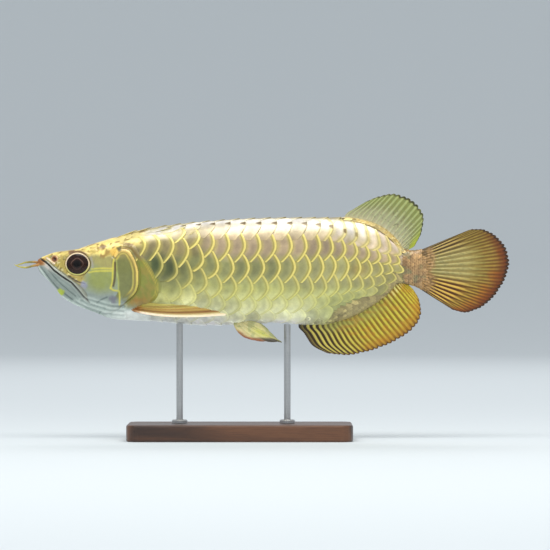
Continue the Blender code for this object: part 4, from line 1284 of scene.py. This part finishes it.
def build_fin(name, root, edge, bow, rays, per_ray, outward_steps, shape, paint):
    """A fin of tapering forked rays joined by a thin membrane.

    root and edge give places (s, h, out) for shares u, bow the same of u and v.
    shape has the thicknesses in millimetres, and how deep the edge is scalloped.
    """
    nu = rays * per_ray + 1
    nv = outward_steps + 1
    u, v = np.meshgrid(np.linspace(0, 1, nu), np.linspace(0, 1, nv) ** 0.9, indexing="ij")
    tooth = u * rays * shape["teeth"] + 0.5 * (shape["teeth"] > 1)
    tooth = tooth - np.floor(tooth) - 0.5
    notch = shape["scallop"] * (np.abs(2 * tooth) ** 2)
    uneven = 0.35 * shape["scallop"] * np.sin(u * rays * 2.3 + 1.0) * np.sin(u * rays * 0.7)
    reach = v * (1 - notch - np.maximum(uneven, 0.0))
    start = root(u)
    place = start + (edge(u) - start) * reach[..., None] + bow(u, reach)
    place = np.stack([place[..., 0], place[..., 2], place[..., 1]], -1)
    du = np.gradient(place, axis=0)
    dv = np.gradient(place, axis=1)
    normal = np.cross(du, dv)
    normal /= np.maximum(np.linalg.norm(normal, axis=-1, keepdims=True), 1e-9)
    on_ray = ray_lines(u, v, rays, shape["split"])
    membrane = shape["membrane"] * (1 - 0.5 * v)
    ray = (shape["ray_root"] * (1 - v) ** 1.2 + shape["ray_tip"]) * on_ray
    flesh = shape["flesh"] * (1 - ramp(v, 0.0, shape["flesh_end"]))
    lead = shape["lead"] * (bell(u * rays, 0.7) + shape["lead_rear"] * bell((1 - u) * rays, 0.7))
    segments = 0.05 * np.sin(reach * shape["segments"] * 2 * math.pi) * on_ray * (v < 0.97)
    half = (membrane + ray + lead * (1 - 0.8 * v) + segments) / 2 + flesh / 2
    side_round = np.sqrt(np.clip(1 - (2 * u - 1) ** 10, 0, 1)) * np.sqrt(np.clip(1 - v ** 14, 0, 1))
    half = half * (0.25 + 0.75 * side_round)
    ripple = shape["ripple"] * np.sin(2 * math.pi * u * rays) * v ** 2
    middle = place + normal * ripple[..., None]
    one = middle + normal * half[..., None]
    two = middle - normal * half[..., None]
    colours = paint(u, v, place[..., 0], place[..., 2])
    points = np.concatenate([one.reshape(-1, 3), two.reshape(-1, 3)])
    tints = np.concatenate([colours.reshape(-1, 3)] * 2)
    index = np.arange(nu * nv).reshape(nu, nv)
    other = index + nu * nv
    x = np.linspace(0, 1, nu)
    y = np.linspace(0, 1, nv) ** 0.9
    faces = []
    uvs = []
    for i in range(nu - 1):
        for j in range(nv - 1):
            cell = ((i, j), (i + 1, j), (i + 1, j + 1), (i, j + 1))
            faces.append(tuple(int(index[c]) for c in cell))
            uvs += [(0.01 + 0.96 * x[a], 0.01 + 0.47 * y[b]) for a, b in cell]
            faces.append(tuple(int(other[c]) for c in reversed(cell)))
            uvs += [(0.01 + 0.96 * x[a], 0.51 + 0.47 * y[b]) for a, b in reversed(cell)]
    rim = [(i, 0) for i in range(nu)] + [(nu - 1, j) for j in range(1, nv)]
    rim += [(i, nv - 1) for i in range(nu - 2, -1, -1)] + [(0, j) for j in range(nv - 2, 0, -1)]
    for k, (a, b) in enumerate(zip(rim, rim[1:] + rim[:1])):
        faces.append((int(index[b]), int(index[a]), int(other[a]), int(other[b])))
        low = k / len(rim)
        high = (k + 1) / len(rim)
        uvs += [(0.98, high), (0.98, low), (0.995, low), (0.995, high)]
    return make_piece(name, world(points), faces, tints, uvs)


def stripes(u, rays, phase=0.0):
    """1 along the middle of every ray and 0 midway between rays."""
    return 0.5 - 0.5 * np.cos(2 * math.pi * (u * rays + phase))


# Colours of the fins: u runs from the leading to the rear ray, v from the root to the edge
def dorsal_paint(u, v, s, h):
    c = filled(u, DORSAL_WEB)
    c = mix(c, DORSAL_GREEN, ramp(v, 0.4, 0.85) * 0.8)
    ray = ramp(stripes(u, DORSAL_RAYS), 0.35, 0.9)
    c = mix(c, DORSAL_RAY, ray * 0.5)
    c = mix(c, DORSAL_GAP, (1 - ray) * 0.5 * ramp(v, 0.3, 0.6))
    dots = ramp(cloud(s, h, (1.3, 1.3), 51), 0.74, 0.9)
    c = mix(c, DORSAL_DOT, dots * 0.7 * ramp(0.85 - v, 0.0, 0.3) * ramp(u, 0.1, 0.3))
    c = mix(c, DORSAL_REAR, ramp(u, 0.74, 0.95) * ramp(v, 0.3, 0.6) * 0.85)
    c = mix(c, DORSAL_ROOT, ramp(0.3 - v, 0.0, 0.2) * 0.6)
    c = mix(c, DORSAL_FOOT, ramp(0.11 - v, 0.0, 0.05) * 0.8)
    c = mix(c, DORSAL_EDGE, ramp(v, 0.93, 0.965) * (0.6 + 0.4 * ramp(cloud(s, h, (3.5, 3.5), 52), 0.3, 0.6)))
    return c


def anal_paint(u, v, s, h):
    ray = ramp(stripes(u, ANAL_RAYS), 0.2, 0.8)
    front = ramp(0.42 - u, 0.0, 0.36)
    dark = mix(filled(u, ANAL_GAP), ANAL_GAP_FRONT, front)
    dark = mix(dark, ANAL_GAP_REAR, ramp(u, 0.68, 0.9))
    light = mix(filled(u, ANAL_RAY), ANAL_RAY_FRONT, front)
    light = mix(light, ANAL_RAY_REAR, ramp(u, 0.68, 0.9))
    c = mix(dark, light, ray)
    green = ramp(0.4 - v, 0.0, 0.25) * ramp(u, 0.08, 0.2) * ramp(0.75 - u, 0.0, 0.25)
    c = mix(c, ANAL_GREEN, green * 0.55)
    patch = ramp(cloud(s, h, (5.0, 3.0), 61), 0.55, 0.8) * ramp(u, 0.15, 0.3)
    c = mix(c, ANAL_ORANGE, patch * 0.26)
    c = mix(c, ANAL_OUTER, ramp(v, 0.62, 0.94) * ramp(u, 0.2, 0.4) * ramp(1.05 - u, 0.0, 0.3) * 0.6)
    c = mix(c, ANAL_ROOT, ramp(0.24 - v, 0.0, 0.12) * ray * ramp(u, 0.62, 0.78) * 0.6)
    c = mix(c, ANAL_TIP_GAP, ramp(v, 0.86, 0.97) * (1 - 0.6 * ray) * (0.4 + 0.6 * front))
    c = mix(c, ANAL_EDGE, ramp(v, 0.955, 0.985) * 0.9)
    c = mix(c, ANAL_FIRST_RAY, bell(u * ANAL_RAYS, 0.9) * 0.85)
    return c


def caudal_paint(u, v, s, h):
    fork = ramp(v, 0.5, 0.8)
    forked = ramp(stripes(u, 2 * CAUDAL_RAYS, 0.25), 0.2, 0.8)
    ray = ramp(stripes(u, CAUDAL_RAYS), 0.25, 0.8) * (1 - fork) + forked * fork
    low = ramp(u, 0.52, 0.7)
    high = ramp(0.34 - u, 0.0, 0.2)
    middle = (1 - low) * (1 - high)
    light = mix(filled(u, CAUDAL_RAY), CAUDAL_RAY_LOW, low)
    light = mix(light, CAUDAL_RAY_HIGH, high)
    dark = mix(filled(u, CAUDAL_GAP), CAUDAL_GAP_LOW, low)
    dark = mix(dark, CAUDAL_GAP_HIGH, high)
    c = mix(dark, light, ray)
    grain = ramp(cloud(s, h, (2.2, 1.1), 71), 0.5, 0.8)
    c = mix(c, CAUDAL_GRAIN, grain * 0.35 * middle)
    c = mix(c, CAUDAL_OLIVE, ramp(v, 0.48, 0.8) * 0.5)
    glow = 0.35 + 0.65 * ramp(cloud(s, h, (7.0, 5.0), 72), 0.3, 0.7)
    c = mix(c, CAUDAL_ORANGE, ramp(v, 0.66, 0.9) * ramp(u, 0.12, 0.42) * glow * 0.8)
    c = mix(c, CAUDAL_HIGH, high * ramp(v, 0.6, 0.9) * 0.7)
    c = mix(c, CAUDAL_TIP_GAP, (1 - ray) * ramp(v, 0.5, 0.8) * 0.6)
    base = filled(u, CAUDAL_FLESH)
    base = mix(base, CAUDAL_FLESH_LIGHT, ramp(cloud(s, h, (1.5, 1.5), 73), 0.55, 0.8) * 0.8)
    base = mix(base, CAUDAL_FLESH_DARK, ramp(cloud(s, h, (1.7, 1.4), 74), 0.62, 0.85) * 0.8)
    uneven = 0.08 * (cloud(s, h, (3.0, 2.0), 75) - 0.5)
    c = mix(c, base, ramp(0.25 - 0.07 * middle - v + uneven, 0.0, 0.12))
    c = mix(c, CAUDAL_RED, ramp(v, 0.82, 0.97) * ramp(u, 0.1, 0.3) * 0.8)
    c = mix(c, CAUDAL_EDGE, ramp(v, 0.95, 0.985) * 0.9)
    sides = bell(u * CAUDAL_RAYS, 0.55) + bell((1 - u) * CAUDAL_RAYS, 0.55)
    c = mix(c, CAUDAL_SIDE_RAY, 0.8 * sides)
    return c


def pectoral_paint(u, v, s, h):
    ray = ramp(stripes(u, PECTORAL_RAYS), 0.3, 0.8)
    c = filled(u, PECTORAL_WEB)
    c = mix(c, PECTORAL_RAY, ray * 0.7)
    c = mix(c, PECTORAL_LEAD, bell(u, 0.17) * 0.95)
    # A dark streak behind the leading ray, painted shade in the gap between it and the rest of the fin
    c = mix(c, PECTORAL_GAP_SHADE, bell(u - 0.25, 0.07) * 0.95)
    c = mix(c, PECTORAL_TAN, bell(u - 0.42, 0.1) * 0.7)
    c = mix(c, PECTORAL_THIN_LINE, bell(u - 0.62, 0.05) * 0.5 * ramp(v, 0.1, 0.4))
    c = mix(c, PECTORAL_FOOT, ramp(0.18 - v, 0.0, 0.14) * 0.8)
    return c


def pelvic_paint(u, v, s, h):
    ray = ramp(stripes(u, PELVIC_RAYS), 0.3, 0.9)
    c = filled(u, PELVIC_WEB)
    c = mix(c, PELVIC_YELLOW, bell(u - 0.55, 0.2) * ramp(v, 0.25, 0.55) * ramp(0.95 - v, 0.0, 0.3) * 0.75)
    c = mix(c, PELVIC_RAY, ray * 0.3)
    c = mix(c, PELVIC_OUTER, ramp(v, 0.75, 0.95) * 0.6)
    c = mix(c, PELVIC_GREEN, ramp(cloud(s, h, (3.0, 2.0), 81), 0.5, 0.8) * 0.5)
    lower = ramp(v, 0.72, 0.9)
    c = mix(c, PELVIC_BROWN, lower * ramp(0.44 - u, 0.0, 0.14) * 0.85)
    c = mix(c, PELVIC_BROWN, bell(u * PELVIC_RAYS, 0.8) * ramp(v, 0.3, 0.6) * 0.7)
    c = mix(c, PELVIC_TIP, lower * ramp(u, 0.28, 0.4) * ramp(0.64 - u, 0.0, 0.1) * 0.9)
    return c


def in_plane(line, t):
    """Places along a line of (s, h), in the middle plane of the fish."""
    return np.concatenate([along(line, t), np.zeros(t.shape + (1,))], -1)


def median_root(base, profile, sunk, crowding):
    """Root of a fin on the back or belly, sunk into the skin, its rays crowded as given."""
    def root(u):
        s = base[0] + (base[1] - base[0]) * smooth(crowding, u)
        return np.stack([s, smooth(profile, s) + sunk, 0 * s], -1)

    return root


def median_bow(lead):
    """Curve of the leading ray, which the rays behind it follow less and less."""
    start = np.array(lead[0] + (0.0,))
    end = np.array(lead[-1] + (0.0,))

    def bow(u, v):
        return (in_plane(lead, v) - start - (end - start) * v[..., None]) * ((1 - u) ** 2.5)[..., None]

    return bow


def between(ends, u):
    a, b = np.array(ends)
    return a + (b - a) * u[..., None]


def build_median_fin(name, root, margin, bow, rays, steps, shape, paint, material):
    def edge(u):
        return in_plane(margin, u)

    fin = build_fin(f"{name}_rays", root, edge, bow, rays, 12, steps, shape, paint)
    place_piece(fin, material, name, name)


def build_paired_fin(name, side, ends, margin, bend, rays, per_ray, steps, shape, paint, material):
    mirror = np.array([1.0, 1.0, side])

    def root(u):
        return between(ends, u) * mirror

    def edge(u):
        return along(margin, u) * mirror

    def bow(u, v):
        return np.array(bend) * mirror * (4 * v * (1 - v) * (1 - u))[..., None]

    fin = build_fin(f"{name}_rays", root, edge, bow, rays, per_ray, steps, shape, paint)
    place_piece(fin, material, "paired_fin", name)


def build_fins(material):
    build_median_fin(
        "dorsal_fin", median_root(DORSAL_BASE, BACK, -FIN_SUNK, DORSAL_CROWDING), DORSAL_MARGIN,
        median_bow(DORSAL_LEAD), DORSAL_RAYS, 80, MEDIAN_SHAPE, dorsal_paint, material,
    )
    build_median_fin(
        "anal_fin", median_root(ANAL_BASE, BELLY, FIN_SUNK, ANAL_CROWDING), ANAL_MARGIN,
        median_bow(ANAL_LEAD), ANAL_RAYS, 80, MEDIAN_SHAPE, anal_paint, material,
    )

    def tail_root(u):
        return between([end + (0.0,) for end in CAUDAL_ROOT], u)

    def straight(u, v):
        return np.zeros(u.shape + (3,))

    build_median_fin(
        "caudal_fin", tail_root, CAUDAL_MARGIN, straight, CAUDAL_RAYS, 100, CAUDAL_SHAPE,
        caudal_paint, material,
    )
    for word, side in SIDES:
        build_paired_fin(
            f"pectoral_fin_{word}", side, PECTORAL_ROOT, PECTORAL_MARGIN, PECTORAL_BOW,
            PECTORAL_RAYS, 14, 90, PECTORAL_SHAPE, pectoral_paint, material,
        )
        build_paired_fin(
            f"pelvic_fin_{word}", side, PELVIC_ROOT, PELVIC_MARGIN, PELVIC_BOW,
            PELVIC_RAYS, 12, 60, PELVIC_SHAPE, pelvic_paint, material,
        )


# Eyes and barbels
PUPIL_BULGE = 0.22


def build_eye(word, side, material):
    """An eyeball with a raised front painted with iris and pupil, turned a little forward and up."""
    rings = 72
    around = 96
    polar = math.pi * np.arange(1, rings) / rings
    turn = 2 * math.pi * np.arange(around) / around
    a, b = np.meshgrid(polar, turn, indexing="ij")
    e = np.sin(a)
    x = e * np.cos(b)
    y = e * np.sin(b)
    front = np.cos(a) > 0
    z = np.cos(a) * np.where(front, EYE_DOME, EYE_DEPTH_INSIDE)
    z += front * (PUPIL_BULGE * ramp(0.5 - e, 0.0, 0.25) - 0.16 * bell(e - 0.865, 0.02))
    local = np.stack([x * EYE_HALF_LENGTH, y * EYE_HALF_HEIGHT, z], -1)
    poles = [(0.0, 0.0, EYE_DOME + PUPIL_BULGE), (0.0, 0.0, -EYE_DEPTH_INSIDE)]
    points = np.concatenate([local.reshape(-1, 3), poles])
    c = filled(e, IRIS)
    flecks = ramp(np.sin(b * 23.0) * np.sin(b * 9.0 + 2.0), 0.1, 0.8)
    c = mix(c, IRIS_FLECK, 0.5 * flecks * ramp(e, 0.5, 0.6))
    c = mix(c, PUPIL, ramp(0.34 - e, 0.0, 0.08))
    c = mix(c, IRIS_RING, bell(e - 0.45 - 0.03 * np.cos(4 * b), 0.035) * (0.25 + 0.4 * ramp(y, -0.3, 0.3)))
    c = mix(c, IRIS_EDGE, bell(e - 0.82, 0.035))
    pale = mix(filled(e, EYE_RIM), EYE_RIM_LOW, ramp(-y, -0.1, 0.7))
    c = mix(c, pale, ramp(e, 0.85, 0.875))
    c = mix(c, EYE_SOCKET, ramp(e, 0.95, 0.985))
    tints = np.concatenate([c.reshape(-1, 3), [PUPIL_MIDDLE, EYE_BACK]])
    out = Vector((
        -math.sin(EYE_TURN_FORWARD),
        side * math.cos(EYE_TURN_FORWARD) * math.cos(EYE_TURN_UP),
        math.sin(EYE_TURN_UP),
    ))
    turned = np.array(out.to_track_quat("Z", "Y").to_matrix())
    points = points @ turned.T + (EYE_MIDDLE[0], side * EYE_OFF_CENTRE, EYE_MIDDLE[1])
    faces, uvs = tube(0.75 + 0.22 * np.arange(rings - 1) / rings, np.arange(around + 1) / around)
    spot = np.stack([0.5 + 0.5 * e * np.cos(b) * 0.98, 0.5 + 0.5 * e * np.sin(b) * 0.98], -1) * 0.68 + 0.01

    def uv(i, j):
        return tuple(spot[i, j % around])

    for i in range(int(front[:, 0].sum()) - 1):
        for j in range(around):
            at = 4 * (i * around + j)
            uvs[at:at + 4] = [uv(i, j), uv(i + 1, j), uv(i + 1, j + 1), uv(i, j + 1)]
    north = (rings - 1) * around
    for j in range(around):
        k = (j + 1) % around
        faces.append((north, j, k))
        uvs += [(0.35, 0.35), uv(0, j), uv(0, j + 1)]
        base = (rings - 2) * around
        faces.append((north + 1, base + k, base + j))
        uvs += [(0.99, (j + 0.5) / around), (0.975, (j + 1) / around), (0.975, j / around)]
    piece = make_piece(f"eyeball_{word}", world(points), faces, tints, uvs)
    place_piece(piece, material, "eye", f"eye_{word}")


def build_barbel(word, side, material):
    """A tapering feeler at the tip of the lower jaw."""
    steps = 90
    around = 16
    t = np.linspace(0, 1, steps + 1)
    line = along(BARBEL_ROUTES[word], t)
    line = np.stack([line[:, 0], line[:, 2] * side, line[:, 1]], -1)
    forward = np.gradient(line, axis=0)
    forward /= np.linalg.norm(forward, axis=1, keepdims=True)
    across = np.cross(forward, (0.0, 0.0, 1.0))
    across /= np.linalg.norm(across, axis=1, keepdims=True)
    upward = np.cross(across, forward)
    radius = 0.92 * (1 - t) ** 0.8 + 0.3 + 0.5 * bell(t, 0.1)
    radius = radius * (1 + 0.05 * np.sin(t * 120.0)) * np.sqrt(np.clip(1 - t ** 30, 0.02, 1))
    turn = 2 * math.pi * np.arange(around) / around
    ring = across[:, None] * np.cos(turn)[None, :, None] + upward[:, None] * np.sin(turn)[None, :, None]
    points = (line[:, None] + ring * radius[:, None, None]).reshape(-1, 3)
    points = np.concatenate([points, [line[0], line[-1]]])
    shade = mix(filled(t, BARBEL_ROOT), BARBEL_TIP, ramp(t, 0.15, 0.45))
    shade = mix(shade, BARBEL_BAND, 0.6 * bell(t - 0.42, 0.12))
    tints = np.concatenate([np.repeat(shade, around, 0), shade[[0, -1]]])
    faces, uvs = tube(np.arange(steps + 1) / steps * 0.96 + 0.02, np.arange(around + 1) / around, True)
    last = steps * around
    for j in range(around):
        k = (j + 1) % around
        faces.append((len(points) - 2, k, j))
        uvs += [(0.005, (j + 0.5) / around), (0.02, (j + 1) / around), (0.02, j / around)]
        faces.append((len(points) - 1, last + j, last + k))
        uvs += [(0.995, (j + 0.5) / around), (0.98, j / around), (0.98, (j + 1) / around)]
    piece = make_piece(f"barbel_{word}_skin", world(points), faces, tints, uvs)
    place_piece(piece, material, "barbel", f"barbel_{word}")


# Materials
class Nodes:
    """A small helper that adds and joins the nodes of one material."""

    def __init__(self, name):
        self.material = bpy.data.materials.new(name)
        self.material.use_nodes = True
        self.tree = self.material.node_tree
        self.shader = self.tree.nodes["Principled BSDF"]

    def add(self, kind, settings=None, **inputs):
        node = self.tree.nodes.new(kind)
        for key, value in (settings or {}).items():
            setattr(node, key, value)
        for key, value in inputs.items():
            self.give(node.inputs[int(key[1:]) if key[1:].isdigit() else key], value)
        return node

    def give(self, socket, value):
        if isinstance(value, bpy.types.NodeSocket):
            self.tree.links.new(value, socket)
        else:
            socket.default_value = value

    def set(self, **inputs):
        """Values and links of the shader itself."""
        for key, value in inputs.items():
            self.give(self.shader.inputs[key.replace("_", " ")], value)

    def place(self):
        return self.add("ShaderNodeTexCoord").outputs["Object"]

    def stretched(self, place, scale):
        """Coordinates in which a texture's grain is drawn out along one axis."""
        return self.add("ShaderNodeMapping", None, Vector=place, Scale=scale).outputs["Vector"]

    def noise(self, place, scale, detail, roughness, **more):
        made = {"Vector": place, "Scale": scale, "Detail": detail, "Roughness": roughness, **more}
        return self.add("ShaderNodeTexNoise", None, **made).outputs["Fac"]

    def ramp(self, factor, low, high, out_low, out_high):
        """factor from low to high, as a value from out_low to out_high."""
        node = self.add("ShaderNodeMapRange", None, i0=factor, i1=low, i2=high, i3=out_low, i4=out_high)
        return node.outputs[0]

    def grey(self, value):
        return self.add("ShaderNodeCombineColor", None, Red=value, Green=value, Blue=value).outputs["Color"]

    def darker(self, colour, value):
        """colour multiplied by a grey of the given value."""
        settings = {"data_type": "RGBA", "blend_type": "MULTIPLY"}
        return self.add("ShaderNodeMix", settings, i0=1.0, i6=colour, i7=self.grey(value)).outputs[2]

    def bump(self, strength, depth, height):
        node = self.add("ShaderNodeBump", None, Strength=strength, Distance=depth, Height=height)
        return node.outputs["Normal"]


def painted(name, roughness, metallic, coat, mottle, grain, relief, specular=0.5, sub=0.0):
    """A wet material in a piece's own colours, with fine mottling and grain.

    mottle is (size in metres, strength), grain (size in metres, bump distance).
    """
    n = Nodes(name)
    place = n.place()
    tint = n.add("ShaderNodeAttribute", {"attribute_name": "tint"}).outputs["Color"]
    patches = n.noise(place, 1.0 / mottle[0], 4.0, 0.6)
    colour = n.darker(tint, n.ramp(patches, 0.3, 0.7, 1.0 - mottle[1], 1.0 + mottle[1]))
    fine = n.noise(place, 1.0 / grain[0], 3.0, 0.55)
    rough = n.ramp(fine, 0.3, 0.7, roughness - 0.06, roughness + 0.08)
    n.set(
        Base_Color=colour, Roughness=rough, Metallic=metallic, Normal=n.bump(relief, grain[1], fine),
        Coat_Weight=coat, Coat_Roughness=0.12, Specular_IOR_Level=specular,
    )
    if sub:
        n.set(Subsurface_Weight=sub, Subsurface_Radius=(1.0, 0.7, 0.4), Subsurface_Scale=0.002)
    return n.material


def wood_material():
    n = Nodes("dark_wood")
    place = n.place()
    long = n.stretched(place, (1.0, 9.0, 9.0))
    warp = n.noise(long, 9.0, 5.0, 0.55, Distortion=0.6)
    settings = {"bands_direction": "Y"}
    rings = n.add("ShaderNodeTexWave", settings, Vector=long, Scale=3.0, Distortion=7.0, Detail=3.0)
    pore = n.noise(n.stretched(place, (6.0, 160.0, 160.0)), 12.0, 3.0, 0.5)
    both = n.add("ShaderNodeMath", {"operation": "MULTIPLY_ADD"}, i0=rings.outputs["Fac"], i1=0.5, i2=warp)
    colour = n.add("ShaderNodeValToRGB", None, Fac=both.outputs[0])
    for stop, where, tint in zip(colour.color_ramp.elements, (0.35, 1.0), (WOOD_DARK, WOOD_LIGHT)):
        stop.position = where
        stop.color = (*linear(tint), 1.0)
    mixed = n.darker(colour.outputs["Color"], n.ramp(pore, 0.35, 0.55, 0.72, 1.0))
    rough = n.ramp(warp, 0.3, 0.7, 0.3, 0.45)
    n.set(
        Base_Color=mixed, Roughness=rough, Normal=n.bump(0.35, 0.0002, pore),
        Coat_Weight=0.25, Coat_Roughness=0.2,
    )
    return n.material


def steel_material():
    n = Nodes("brushed_steel")
    brush = n.noise(n.stretched(n.place(), (40.0, 40.0, 1500.0)), 2.0, 3.0, 0.6)
    grey = n.grey(n.ramp(brush, 0.3, 0.7, 0.46, 0.54))
    rough = n.ramp(brush, 0.3, 0.7, 0.3, 0.36)
    n.set(Base_Color=grey, Roughness=rough, Metallic=1.0, Normal=n.bump(0.04, 0.00005, brush))
    return n.material


def plain_material(name, colour, roughness):
    n = Nodes(name)
    n.set(Base_Color=(*linear(colour), 1.0), Roughness=roughness)
    return n.material


def dress_stand():
    """Dark wood for the base and brushed steel for the two rods."""
    wood = wood_material()
    steel = steel_material()
    for name, node in frame["nodes"].items():
        if name.startswith("stand_"):
            material = wood if name == "stand_base" else steel
            for slot in node.material_slots:
                slot.material = material


# Stage, lights and camera
STAGE_RADIUS = 3.4
STAGE_CURVE = 2.6
STAGE_HEIGHT = 1.3
STAGE_STEPS = 24


def build_stage():
    """A round pale floor that curves up into a wall on all sides."""
    profile = [(r, 0.0) for r in (0.0001, 0.3, 0.8, 1.6, STAGE_RADIUS)]
    last = math.acos(1 - STAGE_HEIGHT / STAGE_CURVE)
    for k in range(STAGE_STEPS):
        angle = last * ((k + 1) / STAGE_STEPS) ** 1.5
        profile.append((STAGE_RADIUS + STAGE_CURVE * math.sin(angle), STAGE_CURVE * (1 - math.cos(angle))))
    around = 96
    turns = [2 * math.pi * k / around for k in range(around)]
    places = [(r * math.cos(turn), r * math.sin(turn), z) for r, z in profile for turn in turns]
    faces, _ = tube(range(len(profile)), range(around + 1))
    mesh = bpy.data.meshes.new("floor")
    mesh.from_pydata(places, [], faces)
    mesh.polygons.foreach_set("use_smooth", [True] * len(mesh.polygons))
    floor = bpy.data.objects.new("floor", mesh)
    mesh.materials.append(plain_material("pale_floor", FLOOR_GREY, 0.75))
    bpy.context.scene.collection.objects.link(floor)


# Place, target, size, power and colour of each light
LIGHTS = {
    "key_light": ((0.05, -0.75, 1.45), (0.02, 0.0, 0.16), (1.5, 0.7), 18.0, (1.0, 0.985, 0.95)),
    "front_light": ((0.1, -2.6, 0.5), (0.0, 0.0, 0.13), (2.8, 0.9), 23.0, (0.98, 0.99, 1.0)),
    "rear_light": ((0.1, 2.3, 2.3), (0.0, 0.0, 0.15), (2.0, 1.2), 30.0, (1.0, 0.99, 0.98)),
}
SKY_COLOUR = (0.93, 0.96, 1.0, 1.0)
SKY_STRENGTH = 0.7


def area_light(name, place, target, size, power, colour):
    light = bpy.data.lights.new(name, "AREA")
    light.shape = "RECTANGLE"
    light.size = size[0]
    light.size_y = size[1]
    light.energy = power
    light.color = colour
    lamp = bpy.data.objects.new(name, light)
    lamp.location = place
    lamp.rotation_euler = (Vector(target) - Vector(place)).to_track_quat("-Z", "Y").to_euler()
    bpy.context.scene.collection.objects.link(lamp)
    return lamp


def light_scene():
    for name, settings in LIGHTS.items():
        lamp = area_light(name, *settings)
        if name != "key_light":
            lamp.visible_camera = False
            lamp.visible_glossy = False
    sky = bpy.data.worlds.new("studio")
    sky.use_nodes = True
    light = sky.node_tree.nodes["Background"]
    light.inputs["Color"].default_value = SKY_COLOUR
    light.inputs["Strength"].default_value = SKY_STRENGTH
    bpy.context.scene.world = sky


SENSOR_WIDTH = 36.0
CAMERA_DISTANCE = 3.2
FRAME_WIDTH = 0.4651
CAMERA_AIM = (0.0296, 0.0, 0.1395)


def place_camera():
    camera = bpy.data.cameras.new("camera")
    camera.sensor_width = SENSOR_WIDTH
    camera.lens = SENSOR_WIDTH * CAMERA_DISTANCE / FRAME_WIDTH
    eye = bpy.data.objects.new("camera", camera)
    eye.location = (CAMERA_AIM[0], -CAMERA_DISTANCE, CAMERA_AIM[2])
    eye.rotation_euler = (math.pi / 2, 0.0, 0.0)
    bpy.context.scene.collection.objects.link(eye)
    bpy.context.scene.camera = eye


def main():
    skin = painted(
        "wet_skin", roughness=0.38, metallic=0.12, coat=0.4,
        mottle=(0.004, 0.1), grain=(0.0006, 0.00012), relief=0.5,
    )
    scale = painted(
        "wet_scales", roughness=0.34, metallic=0.25, coat=0.5,
        mottle=(0.0016, 0.08), grain=(0.0005, 0.00008), relief=0.4,
    )
    fin = painted(
        "wet_fins", roughness=0.45, metallic=0.0, coat=0.12, specular=0.3, sub=0.15,
        mottle=(0.003, 0.09), grain=(0.0007, 0.0001), relief=0.4,
    )
    eye = painted(
        "wet_eyes", roughness=0.12, metallic=0.0, coat=0.12, specular=0.25,
        mottle=(0.001, 0.05), grain=(0.0004, 0.00001), relief=0.05,
    )
    feeler = painted(
        "wet_barbels", roughness=0.4, metallic=0.0, coat=0.4,
        mottle=(0.002, 0.1), grain=(0.0005, 0.0001), relief=0.4,
    )
    place_piece(
        build_skin(), skin, "skin",
        "head", "lower_jaw", "gill_cover_left", "gill_cover_right", "trunk", "tail",
    )
    build_scales(scale)
    build_small_scales(scale)
    build_fins(fin)
    for word, side in SIDES:
        build_eye(word, side, eye)
        build_barbel(word, side, feeler)
    dress_stand()
    build_stage()
    light_scene()
    place_camera()
    bpy.context.scene.view_settings.view_transform = "Standard"


main()
